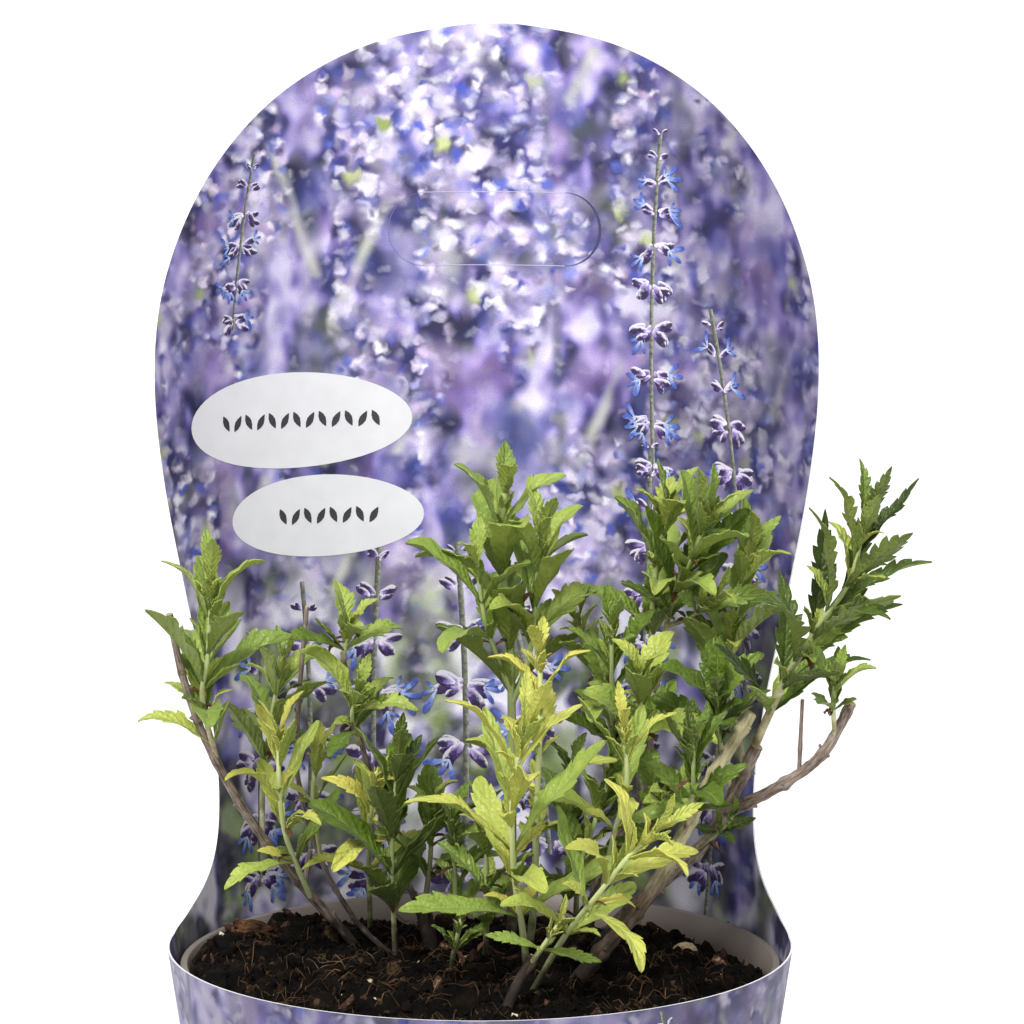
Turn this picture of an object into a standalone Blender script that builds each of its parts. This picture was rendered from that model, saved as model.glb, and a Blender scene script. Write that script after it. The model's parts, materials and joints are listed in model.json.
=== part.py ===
"""A potted Russian sage: nursery pot, soil, woody branches, leafy shoots and a tall card sleeve.

The object stands on z = 0 with its axis on +Z and its front towards -Y. All sizes and places
below are in millimetres, and MM turns them into Blender's metres.
"""

import math
import random
from collections import namedtuple

import bmesh
import bpy
from mathutils import Matrix, Vector
from mathutils.bvhtree import BVHTree

MM = 0.001
GAP = 0.3

# The nursery pot: a tapered plastic shell with a stepped rim band and a flat floor.
POT_HEIGHT = 148.0
RIM_RADIUS = 95.2
RIM_BAND = 10.0
RIM_LIP = 2.4
BODY_TOP_RADIUS = 92.0
BASE_RADIUS = 75.0
WALL = 1.6
FLOOR = 2.4
POT_SIDES = 28
DRAIN_RADIUS = 5.0
DRAIN_CIRCLE = 58.0
DRAIN_COUNT = 6

# The card sleeve: one conical sheet that wraps the pot and rises behind the plant.
CARD = 0.6
CARD_EDGE_Z = 153.5
CARD_EDGE_RADIUS = 98.6
CARD_SLOPE = 0.15
CARD_BOTTOM = 3.0
CARD_TURN = math.radians(1.6)
CARD_COLUMNS = 12
CARD_FRONT_COLUMNS = 16
# Half the card's angle round the pot's axis, in degrees, at heights above the straight edge.
CARD_OUTLINE = [
    (153.5, 84.0), (156.0, 74.0), (163.0, 64.6), (175.0, 59.0), (195.0, 56.3), (220.0, 56.4),
    (255.0, 58.8), (290.0, 60.6), (320.0, 60.0), (347.0, 56.2), (373.0, 48.6), (396.0, 39.0),
    (414.0, 28.4), (426.5, 16.4), (432.3, 3.0),
]

# The soil: a tapered plug, heaped a little towards the middle, with lumps at the wall.
SOIL_MIDDLE = 145.5
SOIL_WALL = 138.5
SOIL_RINGS = 7
# Lumps and hollows: x, y, height, radius.
SOIL_LUMPS = [
    (-80, 24, 7.0, 13), (-56, 60, 5.0, 16), (-84, -12, 4.0, 16), (58, 50, 3.5, 18),
    (84, 6, 4.5, 12), (-30, -62, -2.5, 22), (46, -58, -2.0, 20), (0, -84, 3.0, 20),
]

# Loose pieces that lie on the soil: name, x, y, half sizes, turn in degrees.
STONE = ("stone_pale", 66, 36, (4.0, 3.0, 2.6), 10)
BARK = ("bark_chunk", -74, 36, (9.0, 4.2, 3.6), -28)

# Leaf blades: thickness, the least half width at the stalk, and the clear space kept round one.
BLADE = 0.7
STALK_HALF = 0.5
ROOT_SHIFT = 0.3
CLEARANCE = 0.8
# The toothed outline: part of the length, part of the half width. Each tooth is a tip and a notch.
LEAF_OUTLINE = [(0.0, 0.14), (0.52, 0.94), (0.58, 0.70), (0.78, 0.82)]
SMALL_OUTLINE = [(0.0, 0.14), (0.56, 0.98), (0.63, 0.64)]
SMALL_LEAF = 22.5
WOOD_SIDES = 6
STEM_SIDES = 4
# Sage stems are square, so they measure more across their corners.
SQUARE_CORNER = 1.2
SEED = 41
# How a leaf may give way: turned round its stem, leant, or made smaller.
OFFERS = [
    (turn, lean, size) for size in (1.0, 0.88, 0.75, 0.62)
    for lean in (0, -14, 14, -28) for turn in (0, 12, -12, 25, -25, 40, -40)
]

Stem = namedtuple("Stem", "route radii pairs leaf ratio turn first spread")
Shoot = namedtuple("Shoot", "name carrier tone stems")
Branch = namedtuple("Branch", "name carrier tone limbs")
Leaf = namedtuple("Leaf", "root axis out length half lift fall twist tone")


def stem(route, radii, pairs, leaf, ratio=0.30, turn=0, first=0.30, spread=62):
    """One leafy stem: its route, its radius at foot and tip, and how its leaves sit."""
    return Stem(route, radii, pairs, leaf, ratio, turn, first, spread)


# Woody branches and cut stumps. Each limb is a route with its radius at the foot and the tip.
BRANCHES = [
    Branch("wood_left", "soil", "grey", [
        ([(-36, 42, 132), (-42, 38, 145), (-57, 32, 164), (-70, 26, 182), (-80, 20, 200),
          (-88, 14, 218), (-94, 8, 238), (-98, 4, 259)], (1.7, 1.1)),
        ([(-57, 32, 163), (-55, 37, 175)], (1.0, 0.8)),
    ]),
    Branch("wood_thin", "soil", "grey", [
        ([(-22, 26, 132), (-28, 30, 141), (-41, 40, 152), (-52, 44, 171), (-59, 46, 196),
          (-59, 46, 218), (-56, 48, 253)], (0.9, 0.7)),
    ]),
    Branch("wood_middle", "soil", "grey", [
        ([(-18, 53, 132), (-20, 50, 152), (-26, 46, 167), (-34, 38, 193), (-42, 30, 229),
          (-44, 28, 242)], (1.1, 0.8)),
    ]),
    Branch("wood_stump", "soil", "dark", [
        ([(-14, 30, 132), (-16, 30, 145), (-19, 30, 160)], (3.0, 2.7)),
    ]),
    Branch("wood_front", "soil", "dark", [
        ([(6, -40, 132), (10, -39, 146), (17, -36, 158)], (2.0, 1.7)),
    ]),
    Branch("wood_back", "soil", "grey", [
        ([(34, 72, 132), (36, 70, 146), (40, 66, 165), (52, 60, 187), (56, 52, 222),
          (59, 48, 242)], (1.7, 1.3)),
    ]),
    Branch("wood_right_pale", "soil", "pale", [
        ([(22, -8, 132), (33, -7, 146), (45, -6, 160), (56, -4, 174), (66, 3, 192),
          (74, 8, 206), (86, 10, 226)], (2.9, 2.2)),
    ]),
    Branch("wood_right", "soil", "grey", [
        ([(28, 30, 132), (38, 30, 145), (51, 30, 160), (70, 26, 178), (81, 20, 198),
          (88, 16, 214)], (2.4, 2.0)),
        ([(79, 21, 191), (98, 6, 205), (109, 0, 216), (117, -4, 232)], (1.9, 1.6)),
        ([(101, 4, 207), (102, 6, 231)], (0.7, 0.6)),
    ]),
    Branch("wood_low", "soil", "dark", [
        ([(18, 14, 132), (28, 12, 153), (38, 12, 168), (52, 12, 181)], (1.6, 1.3)),
    ]),
]

# Leafy shoots, front ones first: where later leaves would touch, they bend aside.
SHOOTS = [
    Shoot("shoot_main", "soil", "yellow", [
        stem([(15, 2, 134), (14, -8, 155), (11, -20, 179), (10, -28, 200), (11, -30, 216),
              (14, -30, 229)], (1.2, 0.8), 6, 38, 0.27, 12, 0.34, 62)]),
    Shoot("shoot_front_yellow", "soil", "yellow", [
        stem([(12, -18, 134), (26, -30, 162), (37, -40, 179), (46, -46, 192), (55, -48, 201)],
             (1.1, 0.8), 5, 29, 0.28, 40, 0.42, 74)]),
    Shoot("shoot_right_tall", "wood_right", "green", [
        stem([(87, 17, 213), (97, 4, 239), (107, -6, 258), (116, -10, 273), (120, -12, 291)],
             (1.5, 0.7), 8, 36, 0.27, 20, 0.16, 46)]),
    Shoot("shoot_left_tall", "wood_left", "green", [
        stem([(-84, 17, 209), (-88, 8, 231), (-86, 5, 246), (-85, 6, 269)],
             (1.0, 0.7), 6, 30, 0.30, 15, 0.10, 60)]),
    Shoot("shoot_top_middle", "soil", "green", [
        stem([(10, 40, 134), (10, 40, 170), (10, 40, 222), (9, 40, 253), (6, 38, 275),
              (8, 36, 293)], (1.7, 1.1), 6, 31, 0.36, 10, 0.58, 50),
        stem([(10, 40, 226), (4, 34, 243), (1, 30, 255), (-1, 26, 271)],
             (0.9, 0.7), 3, 26, 0.34, 60, 0.45, 60),
        stem([(10, 40, 222), (15, 34, 237), (17, 30, 252), (19, 26, 280)],
             (0.9, 0.7), 4, 28, 0.32, 30, 0.40, 46)]),
    Shoot("shoot_centre_tall", "soil", "yellow", [
        stem([(14, 26, 134), (17, 20, 160), (18, 14, 194), (19, 12, 223), (19, 12, 245)],
             (1.4, 0.8), 5, 25, 0.39, 75, 0.46, 66)]),
    Shoot("shoot_left_bright", "wood_left", "yellow", [
        stem([(-55, 32, 161), (-62, 20, 183), (-64, 14, 200), (-64, 12, 220)],
             (0.9, 0.7), 5, 25, 0.28, 30, 0.24, 60)]),
    Shoot("shoot_back_left", "wood_back", "green", [
        stem([(56, 52, 224), (55, 43, 249), (57, 38, 272), (60, 36, 289)],
             (1.1, 0.8), 5, 26, 0.33, 0, 0.32, 52)]),
    Shoot("shoot_back_right", "wood_back", "green", [
        stem([(58, 48, 239), (62, 36, 259), (67, 29, 272), (73, 24, 288)],
             (1.0, 0.7), 6, 29, 0.27, 35, 0.24, 50),
        stem([(60, 42, 248), (68, 32, 253), (75, 24, 261)], (0.8, 0.7), 2, 20, 0.32, 10, 0.6, 50)]),
    Shoot("shoot_back_far", "wood_right", "green", [
        stem([(84, 18, 207), (80, 34, 233), (81, 34, 256), (87, 31, 275)],
             (1.0, 0.7), 5, 27, 0.32, 50, 0.36, 56)]),
    Shoot("shoot_right_twig", "wood_right", "green", [
        stem([(112, -2, 221), (111, -8, 234), (112, -12, 242)],
             (0.8, 0.7), 3, 17, 0.32, 70, 0.45, 50)]),
    Shoot("shoot_low_right", "wood_low", "yellow", [
        stem([(39, 12, 168), (42, -2, 188), (46, -12, 207), (45, -18, 227)],
             (1.0, 0.7), 4, 26, 0.28, 5, 0.42, 60)]),
    Shoot("shoot_dark_right", "wood_right_pale", "dark", [
        stem([(65, 2, 189), (67, -9, 205), (67, -13, 222)],
             (0.9, 0.7), 4, 22, 0.30, 25, 0.25, 50)]),
    Shoot("shoot_inner_right", "wood_back", "green", [
        stem([(52, 60, 188), (51, 38, 203), (51, 16, 222), (51, 8, 239)],
             (1.0, 0.7), 4, 25, 0.35, 65, 0.50, 58)]),
    Shoot("shoot_inner_back", "wood_back", "green", [
        stem([(45, 64, 174), (43, 46, 201), (42, 28, 232), (42, 22, 252)],
             (1.0, 0.7), 4, 24, 0.34, 15, 0.46, 56),
        stem([(43, 40, 212), (36, 42, 234), (31, 40, 250)], (0.8, 0.7), 2, 21, 0.34, 60, 0.55, 50)]),
    Shoot("shoot_left_dark", "soil", "dark", [
        stem([(-27, 19, 134), (-28, 16, 167), (-28, 12, 189), (-26, 10, 210)],
             (1.0, 0.7), 5, 30, 0.30, 80, 0.34, 52)]),
    Shoot("shoot_left_inner", "soil", "yellow", [
        stem([(-36, 48, 134), (-36, 44, 152), (-36, 30, 176), (-35, 18, 192), (-33, 13, 206)],
             (0.9, 0.7), 4, 25, 0.30, 20, 0.46, 58)]),
    Shoot("shoot_left_back", "wood_left", "green", [
        stem([(-70, 26, 182), (-70, 36, 199), (-67, 44, 220), (-64, 48, 236)],
             (0.9, 0.7), 4, 24, 0.32, 45, 0.42, 60)]),
    Shoot("shoot_middle_top", "wood_middle", "green", [
        stem([(-44, 28, 239), (-43, 26, 246), (-42, 24, 251)],
             (0.9, 0.7), 3, 21, 0.34, 20, 0.34, 72)]),
    Shoot("shoot_middle_side", "wood_middle", "green", [
        stem([(-39, 33, 211), (-41, 25, 222), (-39, 21, 230)],
             (0.9, 0.7), 3, 22, 0.32, 75, 0.34, 66)]),
    Shoot("shoot_stump", "wood_stump", "green", [
        stem([(-18, 30, 159), (-16, 23, 177), (-16, 20, 192)],
             (1.0, 0.7), 3, 22, 0.34, 10, 0.30, 62)]),
    Shoot("shoot_slope", "soil", "green", [
        stem([(22, 32, 134), (25, 22, 156), (32, 14, 176), (42, 14, 207)],
             (1.1, 0.7), 4, 23, 0.34, 55, 0.40, 62)]),
    Shoot("shoot_dark_top", "wood_right", "dark", [
        stem([(80, 20, 200), (76, 16, 217), (75, 6, 234)],
             (0.9, 0.7), 4, 24, 0.37, 0, 0.42, 58)]),
    Shoot("shoot_front_low", "wood_low", "green", [
        stem([(51, 12, 180), (56, 8, 189), (58, -8, 204)],
             (0.9, 0.7), 3, 22, 0.35, 30, 0.40, 66)]),
    Shoot("shoot_front_base", "wood_front", "yellow", [
        stem([(16, -37, 156), (20, -42, 163), (24, -46, 170)],
             (0.9, 0.7), 2, 19, 0.29, 10, 0.40, 92)]),
    Shoot("shoot_small_base", "soil", "green", [
        stem([(-9, 6, 134), (-9, 0, 147), (-6, -5, 162)],
             (0.9, 0.7), 2, 15, 0.30, 25, 0.62, 50)]),
    Shoot("shoot_centre_low", "soil", "green", [
        stem([(1, 14, 134), (2, 8, 159), (2, 2, 182), (2, 0, 196)],
             (1.0, 0.7), 4, 21, 0.34, 70, 0.36, 60)]),
    Shoot("shoot_stem_left", "soil", "dark", [
        stem([(-8, 22, 134), (-8, 14, 168), (-9, 8, 192)],
             (1.0, 0.7), 3, 22, 0.32, 35, 0.40, 60)]),
    Shoot("shoot_stem_right", "soil", "dark", [
        stem([(30, 42, 134), (31, 30, 167), (30, 26, 187), (29, 24, 206)],
             (1.0, 0.7), 3, 23, 0.35, 20, 0.40, 62)]),
    Shoot("shoot_thin_twig", "wood_thin", "yellow", [
        stem([(-52, 44, 172), (-54, 36, 194), (-52, 34, 209)],
             (0.8, 0.7), 3, 19, 0.30, 0, 0.50, 46)]),
    Shoot("shoot_branch_node", "wood_right", "dark", [
        stem([(69, 26, 178), (76, 13, 187), (80, 6, 193)],
             (0.9, 0.7), 2, 13, 0.30, 20, 0.60, 70)]),
]

TONES = {
    "grey": (0.118, 0.089, 0.062), "dark": (0.060, 0.042, 0.030), "pale": (0.290, 0.245, 0.150),
    "yellow": (0.270, 0.360, 0.040), "green": (0.120, 0.200, 0.030),
    "dark leaf": (0.060, 0.115, 0.018),
}


def clear_scene():
    """Remove what the file holds, so that the model starts from nothing."""
    for old in list(bpy.data.objects):
        bpy.data.objects.remove(old, do_unlink=True)


def new_collection(name):
    group = bpy.data.collections.new(name)
    bpy.context.scene.collection.children.link(group)
    return group


def material(name, colour, roughness, metallic=0.0):
    """A Principled BSDF with the piece's own plain colour."""
    made = bpy.data.materials.new(name)
    made.use_nodes = True
    shader = made.node_tree.nodes["Principled BSDF"]
    shader.inputs["Base Color"].default_value = (*colour, 1.0)
    shader.inputs["Roughness"].default_value = roughness
    shader.inputs["Metallic"].default_value = metallic
    made.diffuse_color = (*colour, 1.0)
    return made


def add_object(name, mesh, group, look=None):
    """Link a mesh as a named object in a collection, with its material."""
    made = bpy.data.objects.new(name, mesh)
    group.objects.link(made)
    if look is not None:
        mesh.materials.clear()
        mesh.materials.append(look)
    return made


def bake(source, name, group, look=None):
    """Turn an object with modifiers, or a curve, into a plain mesh object with welded caps."""
    graph = bpy.context.evaluated_depsgraph_get()
    mesh = bpy.data.meshes.new_from_object(source.evaluated_get(graph))
    place = source.matrix_world.copy()
    bpy.data.objects.remove(source, do_unlink=True)
    shape = bmesh.new()
    shape.from_mesh(mesh)
    bmesh.ops.remove_doubles(shape, verts=shape.verts, dist=1e-6)
    shape.to_mesh(mesh)
    shape.free()
    made = add_object(name, mesh, group, look)
    made.matrix_world = place
    return made


def boolean(target, cutters, operation, solver="EXACT"):
    """Join or cut the target with every object of a collection, apply it, remove the operands."""
    change = target.modifiers.new("boolean", "BOOLEAN")
    change.operand_type = "COLLECTION"
    change.collection = cutters
    change.operation = operation
    change.solver = solver
    graph = bpy.context.evaluated_depsgraph_get()
    mesh = bpy.data.meshes.new_from_object(target.evaluated_get(graph))
    target.modifiers.remove(change)
    looks = list(target.data.materials)
    target.data = mesh
    mesh.materials.clear()
    for look in looks:
        mesh.materials.append(look)
    for used in list(cutters.objects):
        bpy.data.objects.remove(used, do_unlink=True)


def card_radius(z):
    """Inner radius of the card cone at a height."""
    return CARD_EDGE_RADIUS + CARD_SLOPE * (z - CARD_EDGE_Z)


def card_half_angle(z):
    """Half of the card's angle round the axis at a height, read along its outline."""
    if z < CARD_EDGE_Z:
        return math.pi
    if z > CARD_OUTLINE[-1][0]:
        return 0.0
    for (low, wide), (high, narrow) in zip(CARD_OUTLINE, CARD_OUTLINE[1:]):
        if z <= high:
            part = (z - low) / (high - low)
            return math.radians(wide + (narrow - wide) * part)
    return 0.0


def pot_inner_radius(z):
    """Inner radius of the pot's wall at a height."""
    outer = BASE_RADIUS + (BODY_TOP_RADIUS - BASE_RADIUS) * z / (POT_HEIGHT - RIM_BAND)
    return outer - WALL


def soil_height(x, y):
    """Height of the soil surface: a low heap with lumps and a fine crumble."""
    reach = min(1.0, math.hypot(x, y) / pot_inner_radius(SOIL_WALL))
    height = SOIL_MIDDLE + (SOIL_WALL - SOIL_MIDDLE) * reach ** 2
    for lump_x, lump_y, rise, radius in SOIL_LUMPS:
        away = math.hypot(x - lump_x, y - lump_y) / radius
        height += rise * math.exp(-away * away)
    height += 0.7 * math.sin(0.31 * x + 1.3) * math.cos(0.27 * y)
    return height + 0.5 * math.sin(0.83 * x - 0.71 * y)


def along(points, part):
    """Place and direction at a part of a polyline's length."""
    steps = [(b - a).length for a, b in zip(points, points[1:])]
    left = part * sum(steps)
    for a, b, step in zip(points, points[1:], steps):
        if left <= step or b is points[-1]:
            return a.lerp(b, min(1.0, left / step)), (b - a).normalized()
        left -= step


def leaf_frame(leaf, s):
    """Middle point, half-width direction and upward normal of a blade at a part s of its length."""
    swing = leaf.fall - leaf.lift
    angle = leaf.lift + swing * s
    if abs(swing) < 1e-4:
        run, rise = math.sin(angle) * s, math.cos(angle) * s
    else:
        run = (math.cos(leaf.lift) - math.cos(angle)) / swing
        rise = (math.sin(angle) - math.sin(leaf.lift)) / swing
    point = leaf.root + leaf.length * (leaf.axis * rise + leaf.out * run)
    ahead = leaf.axis * math.cos(angle) + leaf.out * math.sin(angle)
    flat = leaf.axis.cross(leaf.out)
    turn = Matrix.Rotation(leaf.twist * s, 3, ahead)
    side = turn @ flat
    return point, side, ahead.cross(side)


def leaf_sheet(leaf, start=0.0):
    """Corner points, normals and triangles of the toothed blade as one open strip."""
    outline = LEAF_OUTLINE if leaf.length > SMALL_LEAF else SMALL_OUTLINE
    points, normals, faces = [], [], []
    for s, width in outline:
        middle, side, up = leaf_frame(leaf, max(s, start))
        half = max(STALK_HALF, leaf.half * width)
        points += [middle - side * half, middle + side * half]
        normals += [up, up]
    tip, side, up = leaf_frame(leaf, 1.0)
    points.append(tip)
    normals.append(up)
    for row in range(0, len(points) - 3, 2):
        faces += [(row, row + 1, row + 3), (row, row + 3, row + 2)]
    last = len(points) - 1
    faces.append((last - 2, last - 1, last))
    return points, normals, faces


def thick_leaf(leaf, half_thickness, start=0.0):
    """The blade as a closed shell, which the clearance test uses."""
    points, normals, faces = leaf_sheet(leaf, start)
    count = len(points)
    both = [p + n * half_thickness for p, n in zip(points, normals)]
    both += [p - n * half_thickness for p, n in zip(points, normals)]
    shell = faces + [(c + count, b + count, a + count) for a, b, c in faces]
    edge = list(range(0, count - 1, 2)) + [count - 1] + list(range(count - 2, 0, -2))
    for a, b in zip(edge, edge[1:] + edge[:1]):
        shell += [(a, b, b + count), (a, b + count, a + count)]
    return both, shell


def rings(points, radii, extra, sides=WOOD_SIDES):
    """A plain tube round a polyline, which the clearance test uses."""
    corners, faces = [], []
    for place, point in enumerate(points):
        ahead = points[min(place + 1, len(points) - 1)] - points[max(place - 1, 0)]
        side = ahead.orthogonal().normalized()
        other = ahead.normalized().cross(side)
        size = radii[place] + extra
        for k in range(sides):
            turn = 2 * math.pi * k / sides
            corners.append(point + size * (side * math.cos(turn) + other * math.sin(turn)))
    for place in range(len(points) - 1):
        for k in range(sides):
            a = place * sides + k
            b = place * sides + (k + 1) % sides
            faces += [(a, b, b + sides), (a, b + sides, a + sides)]
    return corners, faces


def tree_of(shells):
    """One search tree over several shells, or nothing where there is none."""
    corners, faces = [], []
    for points, triangles in shells:
        shift = len(corners)
        corners += points
        faces += [tuple(index + shift for index in face) for face in triangles]
    return BVHTree.FromPolygons(corners, faces) if faces else None


def radii_along(points, ends):
    """A radius for each point, narrowing evenly from foot to tip."""
    last = len(points) - 1
    return [ends[0] + (ends[1] - ends[0]) * place / last for place in range(last + 1)]


def in_free_space(leaf):
    """True where the blade keeps clear of the soil, the pot and the card."""
    for step in range(3, 11):
        middle, side, up = leaf_frame(leaf, step / 10)
        for shift in (-0.8, 0.0, 0.8):
            spot = middle + side * leaf.half * shift
            radius = math.hypot(spot.x, spot.y)
            angle = math.atan2(spot.x, spot.y) - CARD_TURN
            if spot.z < soil_height(spot.x, spot.y) + 2.0:
                return False
            if spot.z < CARD_EDGE_Z + 3.0 and radius > pot_inner_radius(SOIL_WALL) - 4.0:
                return False
            if abs(angle) < card_half_angle(spot.z) + 0.05 and radius > card_radius(spot.z) - 3.0:
                return False
    return True


def all_tubes():
    """Plain tubes of every branch and stem, by node name."""
    tubes = {plant.name: [] for plant in BRANCHES + SHOOTS}
    for plant in BRANCHES:
        for route, ends in plant.limbs:
            points = [Vector(point) for point in route]
            tubes[plant.name].append(rings(points, radii_along(points, ends), 0.4))
    for plant in SHOOTS:
        for part in plant.stems:
            points = [Vector(point) for point in part.route]
            tubes[plant.name].append(rings(points, radii_along(points, part.radii), 0.4))
    return tubes


def pair_leaves(part, pair, tone, draw):
    """Each leaf of one crossed pair, as the list of ways it may stand, the natural one first."""
    rise = pair / max(1, part.pairs - 1)
    points = [Vector(point) for point in part.route]
    root, axis = along(points, part.first + (0.985 - part.first) * rise)
    home = Vector((1, 0, 0))
    across = (home - axis * home.dot(axis)).normalized()
    for half_turn in (0, 180):
        length = part.leaf * (0.94 + 0.10 * math.sin(math.pi * rise) - 0.42 * rise ** 3)
        length *= draw.uniform(0.88, 1.10)
        spread = part.spread * (1.0 - 0.62 * rise ** 1.5) + draw.uniform(-8, 8)
        face = part.turn + 90 * pair + half_turn + draw.uniform(-12, 12)
        twist = math.radians(draw.uniform(-24, 24))
        ways = []
        for turn, lean, size in OFFERS:
            out = Matrix.Rotation(math.radians(face + turn), 3, axis) @ across
            lift = math.radians(max(18.0, spread + lean - 18.0))
            fall = math.radians(max(8.0, spread + lean + 14.0))
            half = length * size * part.ratio / 2
            foot = root + out * ROOT_SHIFT
            ways.append(Leaf(foot, axis, out, length * size, half, lift, fall, twist, tone))
        yield ways


def plan_leaves():
    """Place the leaves in crossed pairs up each stem, each bent aside from what stands near."""
    solid = all_tubes()
    leaves = {}
    for plant in SHOOTS:
        draw = random.Random("%s %d" % (plant.name, SEED))
        crowd = tree_of([shell for name in solid if name != plant.name for shell in solid[name]])
        own = []
        leaves[plant.name] = []
        for part in plant.stems:
            for pair in range(part.pairs):
                for ways in pair_leaves(part, pair, plant.tone, draw):
                    near = tree_of(own)
                    for leaf in ways:
                        outer = thick_leaf(leaf, BLADE / 2, 0.35)
                        if tree_of([thick_leaf(leaf, CLEARANCE)]).overlap(crowd):
                            continue
                        if near is not None and tree_of([outer]).overlap(near):
                            continue
                        if in_free_space(leaf):
                            leaves[plant.name].append(leaf)
                            own.append(outer)
                            break
        solid[plant.name] += [thick_leaf(leaf, CLEARANCE) for leaf in leaves[plant.name]]
    return leaves


def tube(name, points, radii, group, look=None, sides=WOOD_SIDES):
    """A round branch as a bevelled curve with filled caps, made a mesh."""
    shape = bpy.data.curves.new(name, "CURVE")
    shape.dimensions = "3D"
    shape.bevel_depth = MM
    shape.bevel_resolution = sides // 2 - 2
    shape.use_fill_caps = True
    corner = SQUARE_CORNER if sides == STEM_SIDES else 1.0
    line = shape.splines.new("POLY")
    line.points.add(len(points) - 1)
    for knot, point, radius in zip(line.points, points, radii):
        knot.co = (*(point * MM), 1.0)
        knot.radius = radius * corner
    return bake(add_object(name, shape, group), name, group, look)


def blade(name, leaf, group):
    """One leaf blade: the toothed strip, thickened by Solidify."""
    points, normals, faces = leaf_sheet(leaf)
    mesh = bpy.data.meshes.new(name)
    mesh.from_pydata([point * MM for point in points], [], faces)
    made = add_object(name, mesh, group)
    thick = made.modifiers.new("thick", "SOLIDIFY")
    thick.thickness = BLADE * MM
    thick.offset = 0.0
    return made


def turned(name, profile, sides, group, look):
    """A profile in the XZ plane, turned about Z by a Screw modifier."""
    mesh = bpy.data.meshes.new(name)
    edges = [(place, place + 1) for place in range(len(profile) - 1)]
    mesh.from_pydata([(x * MM, 0.0, z * MM) for x, z in profile], edges, [])
    source = add_object(name, mesh, group)
    screw = source.modifiers.new("turn", "SCREW")
    screw.steps = sides
    screw.render_steps = sides
    screw.use_merge_vertices = True
    screw.merge_threshold = 1e-6
    return bake(source, name, group, look)


def make_pot(group, cutters):
    """The pot: a turned shell with a stepped rim and drain holes through its floor."""
    step = POT_HEIGHT - RIM_BAND
    profile = [
        (0.0, FLOOR), (pot_inner_radius(FLOOR), FLOOR), (pot_inner_radius(step), step),
        (RIM_RADIUS - RIM_LIP, POT_HEIGHT), (RIM_RADIUS, POT_HEIGHT), (RIM_RADIUS - 0.6, step + 0.8),
        (BODY_TOP_RADIUS, step), (BASE_RADIUS + 0.2, 1.2), (BASE_RADIUS - 0.8, 0.0), (0.0, 0.0),
    ]
    plastic = material("pot_plastic", (0.35, 0.29, 0.25), 0.5)
    pot = turned("pot", profile, POT_SIDES, group, plastic)
    for hole in range(DRAIN_COUNT):
        turn = 2 * math.pi * (hole + 0.5) / DRAIN_COUNT
        shape = bmesh.new()
        bmesh.ops.create_cone(shape, cap_ends=True, segments=8, radius1=DRAIN_RADIUS * MM,
                              radius2=DRAIN_RADIUS * MM, depth=4 * FLOOR * MM)
        mesh = bpy.data.meshes.new("drain")
        shape.to_mesh(mesh)
        shape.free()
        drill = add_object("drain", mesh, cutters)
        drill.location = (DRAIN_CIRCLE * MM * math.cos(turn), DRAIN_CIRCLE * MM * math.sin(turn), 0)
        drill.display_type = "WIRE"
        drill.hide_render = True
    bpy.context.view_layer.update()
    boolean(pot, cutters, "DIFFERENCE")
    return pot


def card_point(angle, z):
    """A point on the inner face of the card cone. Angle 0 is at the back."""
    turn = angle + CARD_TURN
    radius = card_radius(z)
    return Vector((radius * math.sin(turn), radius * math.cos(turn), z)) * MM


def make_sleeve(group):
    """The sleeve: an open conical sheet laid out row by row, thickened to a card."""
    shape = bmesh.new()
    edge_half = math.radians(CARD_OUTLINE[0][1])
    back = [edge_half * (2 * column / CARD_COLUMNS - 1) for column in range(CARD_COLUMNS + 1)]
    front_step = (2 * math.pi - 2 * edge_half) / CARD_FRONT_COLUMNS
    front = [edge_half + front_step * (column + 1) for column in range(CARD_FRONT_COLUMNS - 1)]
    ring = back + front
    low = [shape.verts.new(card_point(angle, CARD_BOTTOM)) for angle in ring]
    row = [shape.verts.new(card_point(angle, CARD_EDGE_Z)) for angle in ring]
    for place in range(len(ring)):
        after = (place + 1) % len(ring)
        shape.faces.new((low[after], low[place], row[place], row[after]))
    row = row[:CARD_COLUMNS + 1]
    for height, half in CARD_OUTLINE[1:]:
        scale = math.radians(half) / edge_half
        above = [shape.verts.new(card_point(angle * scale, height)) for angle in back]
        for place in range(CARD_COLUMNS):
            shape.faces.new((row[place + 1], row[place], above[place], above[place + 1]))
        row = above
    bmesh.ops.triangulate(shape, faces=shape.faces)
    mesh = bpy.data.meshes.new("sleeve")
    shape.to_mesh(mesh)
    shape.free()
    source = add_object("sleeve", mesh, group)
    thick = source.modifiers.new("card", "SOLIDIFY")
    thick.thickness = CARD * MM
    thick.offset = 1.0
    return bake(source, "sleeve", group, material("sleeve_card", (0.42, 0.38, 0.62), 0.4))


def make_soil(group):
    """The soil plug: a turned solid whose top follows the soil surface."""
    top_radius = pot_inner_radius(SOIL_WALL) - GAP
    floor = FLOOR + GAP
    profile = [(top_radius * ring / SOIL_RINGS, SOIL_WALL) for ring in range(SOIL_RINGS + 1)]
    profile.append((pot_inner_radius(floor) - GAP, floor))
    profile.append((0.0, floor))
    look = material("soil_peat", (0.030, 0.020, 0.014), 0.95)
    soil = turned("soil", profile, POT_SIDES, group, look)
    for corner in soil.data.vertices:
        if corner.co.z > 0.5 * SOIL_WALL * MM:
            height = soil_height(corner.co.x / MM, corner.co.y / MM)
            corner.co.z = min(height, POT_HEIGHT + 3.0) * MM
    return soil


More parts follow.
